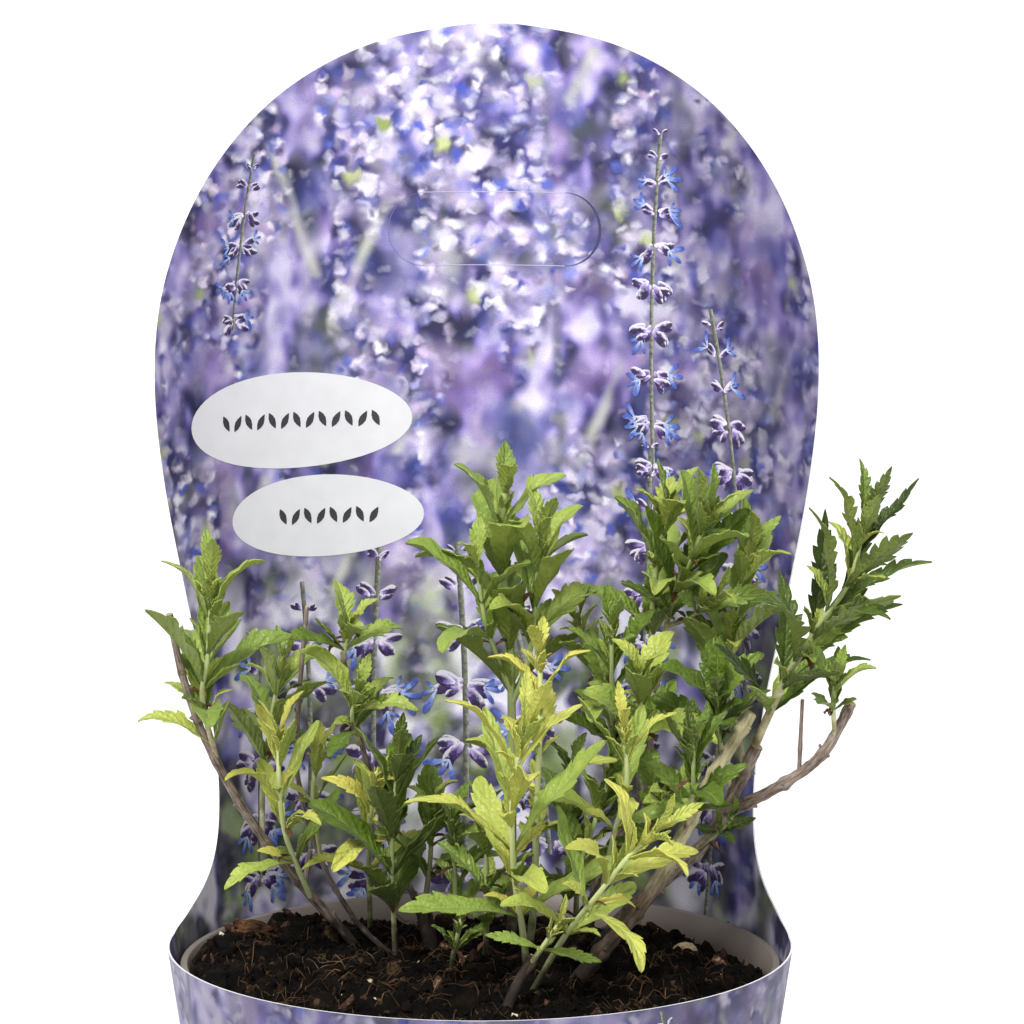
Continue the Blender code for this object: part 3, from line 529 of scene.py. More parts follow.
# Fibres: how many, the largest distance of a fibre's start and of its parts, length of one part.
FIBRES = 420
FIBRE_START, FIBRE_REACH, FIBRE_PART = 86, 87, 1.9
draw = random.Random(5)
fibres = []
for count in range(FIBRES):
    turn, away = draw.uniform(0, 2 * math.pi), FIBRE_START * math.sqrt(draw.random())
    x, y, heading = away * math.cos(turn), away * math.sin(turn), draw.uniform(0, 2 * math.pi)
    line, lift = [], draw.uniform(0.2, 1.6)
    radius = draw.uniform(0.08, 0.20)
    for part in range(draw.randint(3, 12)):
        if math.hypot(x, y) > FIBRE_REACH:
            break
        line.append((Vector((x, y, crumbled(x, y) + lift + 0.5 * math.sin(part))), radius))
        heading += draw.uniform(-0.28, 0.28)
        x, y = x + FIBRE_PART * math.cos(heading), y + FIBRE_PART * math.sin(heading)
    if len(line) > 3:
        fibres.append(line)
fibre_look = peat_material("root_fibre", [(0.3, "#1B120C"), (0.66, "#5A4430"), (0.98, "#B09573")], 6.0)
fibre_piece = tube_piece("root_fibres", fibres, 5, 0.3, per_mm(3), fibre_look)
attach(fibre_piece, "root")

# The pebble and the lump of bark: small found pieces half sunk in the peat. Both start as rounded
# bodies of the solids' size; the pebble is pitted a little, the bark is torn along its grain.
# Each: name, solid, place, half sizes, turn, slot, material, ruggedness, grain along its length.
LUMPS = [
    ("pebble_on_soil", "stone_pale", 66, 36, (4.0, 3.0, 2.6), 10, "pebble", peat_material(
        "pebble", [(0.30, "#7B6A4C"), (0.55, "#B7A682"), (0.85, "#DACBA6")], 1.4), 0.10, 0.5),
    ("bark_on_soil", "bark_chunk", -74, 36, (9.0, 4.2, 3.6), -28, "bark_mulch", peat_material(
        "torn_bark", [(0.35, "#1E120B"), (0.62, "#47301F"), (0.9, "#7D5A3E"), (1.1, "#A98560")],
        1.6), 0.30, 0.16),
]
for name, solid, x, y, sizes, turned_by, slot, look, ruggedness, along_grain in LUMPS:
    shell = bmesh.new()
    bmesh.ops.create_icosphere(shell, subdivisions=5, radius=1.0)
    centre = Vector((x, y, max(soil_height(x, y), crumbled(x, y)) + 0.25 * sizes[2]))
    spin = Matrix.Rotation(math.radians(turned_by), 3, "Z")
    for corner in shell.verts:
        grain = Vector((corner.co.x * along_grain * 6, corner.co.y * 3, corner.co.z * 3))
        swell = 1.0 + ruggedness * (noise.noise(grain) + 0.5 * noise.noise(grain * 2.7) - 0.2)
        body = Vector([part * size * swell for part, size in zip(corner.co, sizes)])
        corner.co = (centre + spin @ body) * MM
    lump = new_piece(name, [], [], [look])
    shell.to_mesh(lump.data)
    shell.free()
    lump.data.shade_smooth()
    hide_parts(solid)
    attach(lump, "root")

# The woody branches: last year's stems with grey, dark or pale fibrous bark, swollen where old
# leaf pairs sat, standing in the soil. Their cut ends show pale, dry wood.
Branch = namedtuple("Branch", "name tone limbs")
# Each limb: its route, then its radius at the foot and at the tip.
BRANCHES = [
    Branch("wood_left", "grey", [
        ([(-36, 42, 132), (-42, 38, 145), (-57, 32, 164), (-70, 26, 182), (-80, 20, 200),
          (-88, 14, 218), (-94, 8, 238), (-98, 4, 259)], (1.7, 1.1)),
        ([(-57, 32, 163), (-55, 37, 175)], (1.0, 0.8)),
    ]),
    Branch("wood_thin", "grey", [
        ([(-22, 26, 132), (-28, 30, 141), (-41, 40, 152), (-52, 44, 171), (-59, 46, 196),
          (-59, 46, 218), (-56, 48, 253)], (0.9, 0.7)),
    ]),
    Branch("wood_middle", "grey", [
        ([(-18, 53, 132), (-20, 50, 152), (-26, 46, 167), (-34, 38, 193), (-42, 30, 229),
          (-44, 28, 242)], (1.1, 0.8)),
    ]),
    Branch("wood_stump", "dark", [
        ([(-14, 30, 132), (-16, 30, 145), (-19, 30, 160)], (3.0, 2.7)),
    ]),
    Branch("wood_front", "dark", [
        ([(6, -40, 132), (10, -39, 146), (17, -36, 158)], (2.0, 1.7)),
    ]),
    Branch("wood_back", "grey", [
        ([(34, 72, 132), (36, 70, 146), (40, 66, 165), (52, 60, 187), (56, 52, 222),
          (59, 48, 242)], (1.7, 1.3)),
    ]),
    Branch("wood_right_pale", "pale", [
        ([(22, -8, 132), (33, -7, 146), (45, -6, 160), (56, -4, 174), (66, 3, 192),
          (74, 8, 206), (86, 10, 226)], (2.9, 2.2)),
    ]),
    Branch("wood_right", "grey", [
        ([(28, 30, 132), (38, 30, 145), (51, 30, 160), (70, 26, 178), (81, 20, 198),
          (88, 16, 214)], (2.4, 2.0)),
        ([(79, 21, 191), (98, 6, 205), (109, 0, 216), (117, -4, 232)], (1.9, 1.6)),
        ([(101, 4, 207), (102, 6, 231)], (0.7, 0.6)),
    ]),
    Branch("wood_low", "dark", [
        ([(18, 14, 132), (28, 12, 153), (38, 12, 168), (52, 12, 181)], (1.6, 1.3)),
    ]),
]
KNOT_SPACING = 17.0
# A broken side bud: how far it stands out, its radius at the bark and at its end.
BUD_STUB = (1.5, 0.75, 0.38)
# Sawn ends: size and lift of each ring of the cut, as a part of the radius and in mm; its steps.
CUT_RINGS = ((0.55, 0.38), (0.9, 0.25), (0.92, -0.3))
CUT_STEPS = 16
# Peat clings to a stem from the second height up to the first.
PEAT_CLINGS = (148, 137)


def dusted(tree, place, clean):
    """A stem's colour, with damp peat clinging to its lowest few millimetres."""
    height = node(tree, "SeparateXYZ", {"Vector": place}, out="Z")
    ragged = node(tree, "TexNoise", {"Vector": place, "Scale": per_mm(4), "Detail": 3.0})
    height = node(tree, "Math", {0: ragged, 1: -24 * MM, 2: height}, operation="MULTIPLY_ADD")
    share = node(tree, "MapRange", {"Value": height, "From Min": PEAT_CLINGS[0] * MM,
                                    "From Max": PEAT_CLINGS[1] * MM, "To Max": 0.92})
    return node(tree, "Mix", {0: share, 6: clean, 7: "#1C130D"}, out=2, data_type="RGBA")


def bark_material(name, low, high=None, turns_at=None):
    """Fibrous bark: long streaks along the stem, flaking in places, with its two ramps of colour."""
    made, tree, shader = new_material(name, Roughness=0.8)
    ring = node(tree, "Attribute", out="Vector", attribute_name="ring")
    ring = node(tree, "VectorMath", {0: ring, "Scale": 1.6}, operation="SCALE")
    along = node(tree, "Attribute", out="Fac", attribute_name="along")
    along = node(tree, "Math", {0: along, 1: per_mm(7)}, operation="MULTIPLY")
    lifted = node(tree, "CombineXYZ", {"Z": along})
    spot = node(tree, "VectorMath", {0: ring, 1: lifted}, operation="ADD")
    streak = node(tree, "TexNoise", {"Vector": spot, "Scale": 1.5, "Detail": 5.0, "Roughness": 0.6})
    place = node(tree, "TexCoord", out="Object")
    blotch = node(tree, "TexNoise", {"Vector": place, "Scale": per_mm(5)})
    both = node(tree, "Math", {0: blotch, 1: 0.5, 2: streak}, operation="MULTIPLY_ADD")
    colour = node(tree, "ValToRGB", {"Fac": both}, stops=low)
    if high:
        upper = node(tree, "ValToRGB", {"Fac": both}, stops=high)
        height = node(tree, "SeparateXYZ", {"Vector": place}, out="Z")
        turn = node(tree, "MapRange", {
            "Value": height, "From Min": turns_at[0] * MM, "From Max": turns_at[1] * MM})
        colour = node(tree, "Mix", {0: turn, 6: colour, 7: upper}, out=2, data_type="RGBA")
    tree.links.new(dusted(tree, place, colour), shader.inputs["Base Color"])
    bump = node(tree, "Bump", {"Height": streak, "Distance": 0.0007, "Strength": 0.9})
    tree.links.new(bump, shader.inputs["Normal"])
    return made


def grained(name, stops, size, detail=2.0, **values):
    """An even matter that only varies a little, in grains of a size in millimetres."""
    made, tree, shader = new_material(name, **values)
    place = node(tree, "TexCoord", out="Object")
    grain = node(tree, "TexNoise", {"Vector": place, "Scale": per_mm(size), "Detail": detail})
    tone = node(tree, "ValToRGB", {"Fac": grain}, stops=stops)
    tree.links.new(tone, shader.inputs["Base Color"])
    return made


BROWN_BARK = [(0.42, "#2C2119"), (0.60, "#4E3F32"), (0.78, "#6D5B4A"), (1.0, "#8C7A65")]
PALE_BARK = [(0.42, "#64543C"), (0.58, "#948862"), (0.76, "#AFA67E"), (1.0, "#CFC8A6")]
barks = {
    "grey": bark_material("bark_grey", [(0.45, "#382B23"), (0.62, "#655448"), (0.78, "#8C7C70"),
                                        (1.0, "#B1A498")]),
    "dark": bark_material("bark_dark", [(0.45, "#17100C"), (0.65, "#35291F"), (0.9, "#625042")]),
    "pale": bark_material("bark_pale", BROWN_BARK, PALE_BARK, (170, 186)),
}
# Sawn sage wood: pale, dry and matt, with fine darker pores.
cut_wood = grained("cut_wood", [(0.3, "#8C7650"), (0.6, "#C2AE84"), (0.8, "#DCCDA8")], 0.8, 3.0,
                   Roughness=0.75)

draw = random.Random(23)
for plant in BRANCHES:
    lines, ends = [], []
    for route, radii in plant.limbs:
        line, far, last = [], 0.0, None
        for spot, radius in smooth_route(route, radii, 1.4):
            step = spot - last if last else Vector((0, 0, 1))
            far += step.length if last else 0.0
            last = spot
            knot = math.exp(-((far % KNOT_SPACING - 9.0) / 1.4) ** 2)
            full = 1.0 if plant.tone == "grey" else 0.92
            line.append((spot, radius * (full + 0.26 * knot + draw.uniform(-0.03, 0.03))))
            if knot > 0.75 and radius > 1.0 and spot.z > 150:
                side = Matrix.Rotation(draw.uniform(0, math.pi), 3, step) @ step.orthogonal().normalized()
                for way in (-1, 1):
                    out = way * side + 0.5 * step.normalized()
                    foot = spot + out * radius * 0.6
                    end = spot + out * (radius + BUD_STUB[0] * draw.uniform(0.3, 1.0))
                    lines.append([(foot, BUD_STUB[1]), ((foot + end) / 2, BUD_STUB[1] * 0.9),
                                  (end, BUD_STUB[2])])
        lines.append(line)
        ends.append((line[-1][0], (line[-1][0] - line[-2][0]).normalized(), line[-1][1]))
    bark = tube_piece(plant.name + "_bark", lines, 18, 0.55, per_mm(2.6), barks[plant.tone])
    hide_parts(plant.name)
    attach(bark, "root")
    corners, faces = [], []
    for spot, ahead, radius in ends:
        side = ahead.orthogonal().normalized()
        other = ahead.cross(side)
        first = len(corners)
        corners += [spot - ahead * 0.3, spot + ahead * 0.35]
        for size, lift in CUT_RINGS:
            for k in range(CUT_STEPS):
                turn = 2 * math.pi * k / CUT_STEPS
                rough = 1 + 0.06 * math.sin(5 * turn + radius)
                corners.append(spot + ahead * lift + rough * size * radius
                               * (side * math.cos(turn) + other * math.sin(turn)))
        for k in range(CUT_STEPS):
            a, b = first + 2 + k, first + 2 + (k + 1) % CUT_STEPS
            faces.append((first + 1, a, b))
            for around in (0, CUT_STEPS):
                faces.append((a + around, a + around + CUT_STEPS, b + around + CUT_STEPS, b + around))
            faces.append((first, b + 2 * CUT_STEPS, a + 2 * CUT_STEPS))
    cut = new_piece(plant.name + "_cuts", corners, faces, [cut_wood])
    face_outward(cut)
    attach(cut, "root")

# The leafy shoots: square green stems with toothed leaves in crossed pairs. Each leaf turns, leans
# or shrinks until it is clear of what stands near, by the same rule and draw as the solids.
# Thickness of a blade, half width of its stalk, how far it starts off the stem's middle line, and
# the room it keeps, all as in the solids.
BLADE = 0.7
STALK_HALF = 0.5
ROOT_SHIFT = 0.3
CLEARANCE = 0.8
# Outlines of the solids' blades: part of the length, part of the half width. Leaves up to a length
# of SMALL_LEAF have the small one.
LEAF_OUTLINE = [(0.0, 0.14), (0.52, 0.94), (0.58, 0.70), (0.78, 0.82)]
SMALL_OUTLINE = [(0.0, 0.14), (0.56, 0.98), (0.63, 0.64)]
SMALL_LEAF = 22.5
SEED = 41
# The ways a leaf may stand, in the order of trying: turn, lean, part of its size.
OFFERS = [
    (turn, lean, size) for size in (1.0, 0.88, 0.75, 0.62)
    for lean in (0, -14, 14, -28) for turn in (0, 12, -12, 25, -25, 40, -40)
]
Stem = namedtuple("Stem", "route radii pairs leaf ratio turn first spread")
Shoot = namedtuple("Shoot", "name tone stems")
Leaf = namedtuple("Leaf", "root axis out length half lift fall twist tone")
# Each stem: route, radius at foot and tip, planned pairs of leaves, length of a leaf, its width as a
# share of that, turn of the first pair, where the pairs begin on the stem, angle off the stem.
SHOOTS = [
    Shoot("shoot_main", "yellow", [
        Stem([(15, 2, 134), (14, -8, 155), (11, -20, 179), (10, -28, 200), (11, -30, 216),
              (14, -30, 229)], (1.2, 0.8), 6, 38, 0.27, 12, 0.34, 62)]),
    Shoot("shoot_front_yellow", "yellow", [
        Stem([(12, -18, 134), (26, -30, 162), (37, -40, 179), (46, -46, 192), (55, -48, 201)],
             (1.1, 0.8), 5, 29, 0.28, 40, 0.42, 74)]),
    Shoot("shoot_right_tall", "green", [
        Stem([(87, 17, 213), (97, 4, 239), (107, -6, 258), (116, -10, 273), (120, -12, 291)],
             (1.5, 0.7), 8, 36, 0.27, 20, 0.16, 46)]),
    Shoot("shoot_left_tall", "green", [
        Stem([(-84, 17, 209), (-88, 8, 231), (-86, 5, 246), (-85, 6, 269)],
             (1.0, 0.7), 6, 30, 0.30, 15, 0.10, 60)]),
    Shoot("shoot_top_middle", "green", [
        Stem([(10, 40, 134), (10, 40, 170), (10, 40, 222), (9, 40, 253), (6, 38, 275),
              (8, 36, 293)], (1.7, 1.1), 6, 31, 0.36, 10, 0.58, 50),
        Stem([(10, 40, 226), (4, 34, 243), (1, 30, 255), (-1, 26, 271)],
             (0.9, 0.7), 3, 26, 0.34, 60, 0.45, 60),
        Stem([(10, 40, 222), (15, 34, 237), (17, 30, 252), (19, 26, 280)],
             (0.9, 0.7), 4, 28, 0.32, 30, 0.40, 46)]),
    Shoot("shoot_centre_tall", "yellow", [
        Stem([(14, 26, 134), (17, 20, 160), (18, 14, 194), (19, 12, 223), (19, 12, 245)],
             (1.4, 0.8), 5, 25, 0.39, 75, 0.46, 66)]),
    Shoot("shoot_left_bright", "yellow", [
        Stem([(-55, 32, 161), (-62, 20, 183), (-64, 14, 200), (-64, 12, 220)],
             (0.9, 0.7), 5, 25, 0.28, 30, 0.24, 60)]),
    Shoot("shoot_back_left", "green", [
        Stem([(56, 52, 224), (55, 43, 249), (57, 38, 272), (60, 36, 289)],
             (1.1, 0.8), 5, 26, 0.33, 0, 0.32, 52)]),
    Shoot("shoot_back_right", "green", [
        Stem([(58, 48, 239), (62, 36, 259), (67, 29, 272), (73, 24, 288)],
             (1.0, 0.7), 6, 29, 0.27, 35, 0.24, 50),
        Stem([(60, 42, 248), (68, 32, 253), (75, 24, 261)], (0.8, 0.7), 2, 20, 0.32, 10, 0.6, 50)]),
    Shoot("shoot_back_far", "green", [
        Stem([(84, 18, 207), (80, 34, 233), (81, 34, 256), (87, 31, 275)],
             (1.0, 0.7), 5, 27, 0.32, 50, 0.36, 56)]),
    Shoot("shoot_right_twig", "green", [
        Stem([(112, -2, 221), (111, -8, 234), (112, -12, 242)],
             (0.8, 0.7), 3, 17, 0.32, 70, 0.45, 50)]),
    Shoot("shoot_low_right", "yellow", [
        Stem([(39, 12, 168), (42, -2, 188), (46, -12, 207), (45, -18, 227)],
             (1.0, 0.7), 4, 26, 0.28, 5, 0.42, 60)]),
    Shoot("shoot_dark_right", "dark", [
        Stem([(65, 2, 189), (67, -9, 205), (67, -13, 222)],
             (0.9, 0.7), 4, 22, 0.30, 25, 0.25, 50)]),
    Shoot("shoot_inner_right", "green", [
        Stem([(52, 60, 188), (51, 38, 203), (51, 16, 222), (51, 8, 239)],
             (1.0, 0.7), 4, 25, 0.35, 65, 0.50, 58)]),
    Shoot("shoot_inner_back", "green", [
        Stem([(45, 64, 174), (43, 46, 201), (42, 28, 232), (42, 22, 252)],
             (1.0, 0.7), 4, 24, 0.34, 15, 0.46, 56),
        Stem([(43, 40, 212), (36, 42, 234), (31, 40, 250)], (0.8, 0.7), 2, 21, 0.34, 60, 0.55, 50)]),
    Shoot("shoot_left_dark", "dark", [
        Stem([(-27, 19, 134), (-28, 16, 167), (-28, 12, 189), (-26, 10, 210)],
             (1.0, 0.7), 5, 30, 0.30, 80, 0.34, 52)]),
    Shoot("shoot_left_inner", "yellow", [
        Stem([(-36, 48, 134), (-36, 44, 152), (-36, 30, 176), (-35, 18, 192), (-33, 13, 206)],
             (0.9, 0.7), 4, 25, 0.30, 20, 0.46, 58)]),
    Shoot("shoot_left_back", "green", [
        Stem([(-70, 26, 182), (-70, 36, 199), (-67, 44, 220), (-64, 48, 236)],
             (0.9, 0.7), 4, 24, 0.32, 45, 0.42, 60)]),
    Shoot("shoot_middle_top", "green", [
        Stem([(-44, 28, 239), (-43, 26, 246), (-42, 24, 251)],
             (0.9, 0.7), 3, 21, 0.34, 20, 0.34, 72)]),
    Shoot("shoot_middle_side", "green", [
        Stem([(-39, 33, 211), (-41, 25, 222), (-39, 21, 230)],
             (0.9, 0.7), 3, 22, 0.32, 75, 0.34, 66)]),
    Shoot("shoot_stump", "green", [
        Stem([(-18, 30, 159), (-16, 23, 177), (-16, 20, 192)],
             (1.0, 0.7), 3, 22, 0.34, 10, 0.30, 62)]),
    Shoot("shoot_slope", "green", [
        Stem([(22, 32, 134), (25, 22, 156), (32, 14, 176), (42, 14, 207)],
             (1.1, 0.7), 4, 23, 0.34, 55, 0.40, 62)]),
    Shoot("shoot_dark_top", "dark", [
        Stem([(80, 20, 200), (76, 16, 217), (75, 6, 234)],
             (0.9, 0.7), 4, 24, 0.37, 0, 0.42, 58)]),
    Shoot("shoot_front_low", "green", [
        Stem([(51, 12, 180), (56, 8, 189), (58, -8, 204)],
             (0.9, 0.7), 3, 22, 0.35, 30, 0.40, 66)]),
    Shoot("shoot_front_base", "yellow", [
        Stem([(16, -37, 156), (20, -42, 163), (24, -46, 170)],
             (0.9, 0.7), 2, 19, 0.29, 10, 0.40, 92)]),
    Shoot("shoot_small_base", "green", [
        Stem([(-9, 6, 134), (-9, 0, 147), (-6, -5, 162)],
             (0.9, 0.7), 2, 15, 0.30, 25, 0.62, 50)]),
    Shoot("shoot_centre_low", "green", [
        Stem([(1, 14, 134), (2, 8, 159), (2, 2, 182), (2, 0, 196)],
             (1.0, 0.7), 4, 21, 0.34, 70, 0.36, 60)]),
    Shoot("shoot_stem_left", "dark", [
        Stem([(-8, 22, 134), (-8, 14, 168), (-9, 8, 192)],
             (1.0, 0.7), 3, 22, 0.32, 35, 0.40, 60)]),
    Shoot("shoot_stem_right", "dark", [
        Stem([(30, 42, 134), (31, 30, 167), (30, 26, 187), (29, 24, 206)],
             (1.0, 0.7), 3, 23, 0.35, 20, 0.40, 62)]),
    Shoot("shoot_thin_twig", "yellow", [
        Stem([(-52, 44, 172), (-54, 36, 194), (-52, 34, 209)],
             (0.8, 0.7), 3, 19, 0.30, 0, 0.50, 46)]),
    Shoot("shoot_branch_node", "dark", [
        Stem([(69, 26, 178), (76, 13, 187), (80, 6, 193)],
             (0.9, 0.7), 2, 13, 0.30, 20, 0.60, 70)]),
]

# Sides of the plain tubes that stand in for wood where leaves look for room.
WOOD_SIDES = 6
# The card's straight edge: its height and the cone's inner radius there. Then the cone's widening
# with height and the card's turn round the pot.
CARD_EDGE_Z = 153.5
CARD_EDGE_RADIUS = 98.6
CARD_SLOPE = 0.15
CARD_TURN = math.radians(1.6)
# Half the card's angle round the pot's axis, in degrees, at heights above the straight edge.
CARD_OUTLINE = [
    (153.5, 84.0), (156.0, 74.0), (163.0, 64.6), (175.0, 59.0), (195.0, 56.3), (220.0, 56.4),
    (255.0, 58.8), (290.0, 60.6), (320.0, 60.0), (347.0, 56.2), (373.0, 48.6), (396.0, 39.0),
    (414.0, 28.4), (426.5, 16.4), (432.3, 3.0),
]


def card_radius(z):
    """Inner radius of the card cone at a height."""
    return CARD_EDGE_RADIUS + CARD_SLOPE * (z - CARD_EDGE_Z)


def card_half_angle(z):
    """Half of the card's angle round the axis at a height, read along its outline."""
    if z < CARD_EDGE_Z:
        return math.pi
    if z > CARD_OUTLINE[-1][0]:
        return 0.0
    for (low, wide), (high, narrow) in zip(CARD_OUTLINE, CARD_OUTLINE[1:]):
        if z <= high:
            part = (z - low) / (high - low)
            return math.radians(wide + (narrow - wide) * part)
    return 0.0


def along(points, part):
    """Place and direction at a part of a polyline's length."""
    steps = [(b - a).length for a, b in zip(points, points[1:])]
    left = part * sum(steps)
    for a, b, step in zip(points, points[1:], steps):
        if left <= step or b is points[-1]:
            return a.lerp(b, min(1.0, left / step)), (b - a).normalized()
        left -= step


def leaf_frame(leaf, s):
    """Middle point, half-width direction and upward normal of a blade at a part s of its length."""
    swing = leaf.fall - leaf.lift
    angle = leaf.lift + swing * s
    if abs(swing) < 1e-4:
        run, rise = math.sin(angle) * s, math.cos(angle) * s
    else:
        run = (math.cos(leaf.lift) - math.cos(angle)) / swing
        rise = (math.sin(angle) - math.sin(leaf.lift)) / swing
    point = leaf.root + leaf.length * (leaf.axis * rise + leaf.out * run)
    ahead = leaf.axis * math.cos(angle) + leaf.out * math.sin(angle)
    flat = leaf.axis.cross(leaf.out)
    turn = Matrix.Rotation(leaf.twist * s, 3, ahead)
    side = turn @ flat
    return point, side, ahead.cross(side)


def leaf_sheet(leaf, start=0.0):
    """Corner points, normals and triangles of the toothed blade as one open strip."""
    outline = LEAF_OUTLINE if leaf.length > SMALL_LEAF else SMALL_OUTLINE
    points, normals, faces = [], [], []
    for s, width in outline:
        middle, side, up = leaf_frame(leaf, max(s, start))
        half = max(STALK_HALF, leaf.half * width)
        points += [middle - side * half, middle + side * half]
        normals += [up, up]
    tip, side, up = leaf_frame(leaf, 1.0)
    points.append(tip)
    normals.append(up)
    for row in range(0, len(points) - 3, 2):
        faces += [(row, row + 1, row + 3), (row, row + 3, row + 2)]
    last = len(points) - 1
    faces.append((last - 2, last - 1, last))
    return points, normals, faces


def thick_leaf(leaf, half_thickness, start=0.0):
    """The blade as a closed shell, which the clearance test uses."""
    points, normals, faces = leaf_sheet(leaf, start)
    count = len(points)
    both = [p + n * half_thickness for p, n in zip(points, normals)]
    both += [p - n * half_thickness for p, n in zip(points, normals)]
    shell = faces + [(c + count, b + count, a + count) for a, b, c in faces]
    edge = list(range(0, count - 1, 2)) + [count - 1] + list(range(count - 2, 0, -2))
    for a, b in zip(edge, edge[1:] + edge[:1]):
        shell += [(a, b, b + count), (a, b + count, a + count)]
    return both, shell


def rings(points, radii, extra):
    """A plain tube round a polyline, which the clearance test uses."""
    corners, faces = [], []
    for place, point in enumerate(points):
        ahead = points[min(place + 1, len(points) - 1)] - points[max(place - 1, 0)]
        side = ahead.orthogonal().normalized()
        other = ahead.normalized().cross(side)
        size = radii[place] + extra
        for k in range(WOOD_SIDES):
            turn = 2 * math.pi * k / WOOD_SIDES
            corners.append(point + size * (side * math.cos(turn) + other * math.sin(turn)))
    for place in range(len(points) - 1):
        for k in range(WOOD_SIDES):
            a, b = place * WOOD_SIDES + k, place * WOOD_SIDES + (k + 1) % WOOD_SIDES
            faces += [(a, b, b + WOOD_SIDES), (a, b + WOOD_SIDES, a + WOOD_SIDES)]
    return corners, faces


def tree_of(shells):
    """One search tree over several shells, or nothing where there is none."""
    corners, faces = [], []
    for points, triangles in shells:
        shift = len(corners)
        corners += points
        faces += [tuple(index + shift for index in face) for face in triangles]
    return BVHTree.FromPolygons(corners, faces) if faces else None


def radii_along(points, ends):
    """A radius for each point, narrowing evenly from foot to tip."""
    last = len(points) - 1
    return [ends[0] + (ends[1] - ends[0]) * place / last for place in range(last + 1)]


def in_free_space(leaf):
    """True where the blade keeps clear of the soil, the pot and the card."""
    for step in range(3, 11):
        middle, side, up = leaf_frame(leaf, step / 10)
        for shift in (-0.8, 0.0, 0.8):
            spot = middle + side * leaf.half * shift
            radius = math.hypot(spot.x, spot.y)
            angle = math.atan2(spot.x, spot.y) - CARD_TURN
            if spot.z < soil_height(spot.x, spot.y) + 2.0:
                return False
            if spot.z < CARD_EDGE_Z + 3.0 and radius > pot_inner_radius(SOIL_WALL) - 4.0:
                return False
            if abs(angle) < card_half_angle(spot.z) + 0.05 and radius > card_radius(spot.z) - 3.0:
                return False
    return True


def all_tubes():
    """Plain tubes of every branch and stem, by node name."""
    tubes = {plant.name: [] for plant in BRANCHES + SHOOTS}
    for plant in BRANCHES:
        for route, ends in plant.limbs:
            points = [Vector(point) for point in route]
            tubes[plant.name].append(rings(points, radii_along(points, ends), 0.4))
    for plant in SHOOTS:
        for part in plant.stems:
            points = [Vector(point) for point in part.route]
            tubes[plant.name].append(rings(points, radii_along(points, part.radii), 0.4))
    return tubes


def pair_leaves(part, pair, tone, draw):
    """Each leaf of one crossed pair, as the list of ways it may stand, the natural one first."""
    rise = pair / max(1, part.pairs - 1)
    points = [Vector(point) for point in part.route]
    root, axis = along(points, part.first + (0.985 - part.first) * rise)
    home = Vector((1, 0, 0))
    across = (home - axis * home.dot(axis)).normalized()
    for half_turn in (0, 180):
        length = part.leaf * (0.94 + 0.10 * math.sin(math.pi * rise) - 0.42 * rise ** 3)
        length *= draw.uniform(0.88, 1.10)
        spread = part.spread * (1.0 - 0.62 * rise ** 1.5) + draw.uniform(-8, 8)
        face = part.turn + 90 * pair + half_turn + draw.uniform(-12, 12)
        twist = math.radians(draw.uniform(-24, 24))
        ways = []
        for turn, lean, size in OFFERS:
            out = Matrix.Rotation(math.radians(face + turn), 3, axis) @ across
            lift = math.radians(max(18.0, spread + lean - 18.0))
            fall = math.radians(max(8.0, spread + lean + 14.0))
            half = length * size * part.ratio / 2
            foot = root + out * ROOT_SHIFT
            ways.append(Leaf(foot, axis, out, length * size, half, lift, fall, twist, tone))
        yield ways


def plan_leaves():
    """Place the leaves in crossed pairs up each stem, each bent aside from what stands near."""
    solid = all_tubes()
    leaves = {}
    for plant in SHOOTS:
        draw = random.Random("%s %d" % (plant.name, SEED))
        crowd = tree_of([shell for name in solid if name != plant.name for shell in solid[name]])
        own = []
        leaves[plant.name] = []
        for part in plant.stems:
            for pair in range(part.pairs):
                for ways in pair_leaves(part, pair, plant.tone, draw):
                    near = tree_of(own)
                    for leaf in ways:
                        outer = thick_leaf(leaf, BLADE / 2, 0.35)
                        if tree_of([thick_leaf(leaf, CLEARANCE)]).overlap(crowd):
                            continue
                        if near is not None and tree_of([outer]).overlap(near):
                            continue
                        if in_free_space(leaf):
                            leaves[plant.name].append(leaf)
                            own.append(outer)
                            break
        solid[plant.name] += [thick_leaf(leaf, CLEARANCE) for leaf in leaves[plant.name]]
    return leaves


# How bright the leaves of each tone are.
TONE_VALUES = {"dark": 0.0, "green": 0.45, "yellow": 1.0}
# Each outline kind: teeth on a side, tooth depth, widest at, first tooth at, rows a tooth, tip.
LEAF_KINDS = [
    (4, 0.32, 0.64, 0.44, 4, 0.75), (3, 0.28, 0.66, 0.56, 4, 0.60), (4, 0.38, 0.60, 0.42, 3, 0.85),
    (3, 0.42, 0.58, 0.42, 3, 0.85), (6, 0.52, 0.50, 0.22, 4, 1.00), (2, 0.16, 0.66, 0.62, 4, 0.55),
]
# The kinds of the planned leaves, of the small and young ones, and of the deeply toothed shoot.
LARGE_KINDS, SMALL_KIND, TINY_KIND, DEEP_KIND = (0.0, 0.0, 1.0, 5.0), 2.0, 3.0, 4.0
# Where a blade has its points, from the midrib at 0 to the edge at 1.
ACROSS = (0.0, 0.08, 0.56, 1.0)
STALK_ROWS = 4


def blade_width(s, widest, taper):
    """Half width of the untoothed blade at a part s of its length, as a part of the most."""
    if s < widest:
        rise = max(0.0, s - 0.04) / (widest - 0.04)
        return 0.13 + 0.87 * (0.5 - 0.5 * math.cos(math.pi * rise ** 0.85)) ** 0.85
    fall = (s - widest) / (1.0 - widest)
    return max(0.03, math.cos(fall * math.pi / 2) ** taper)


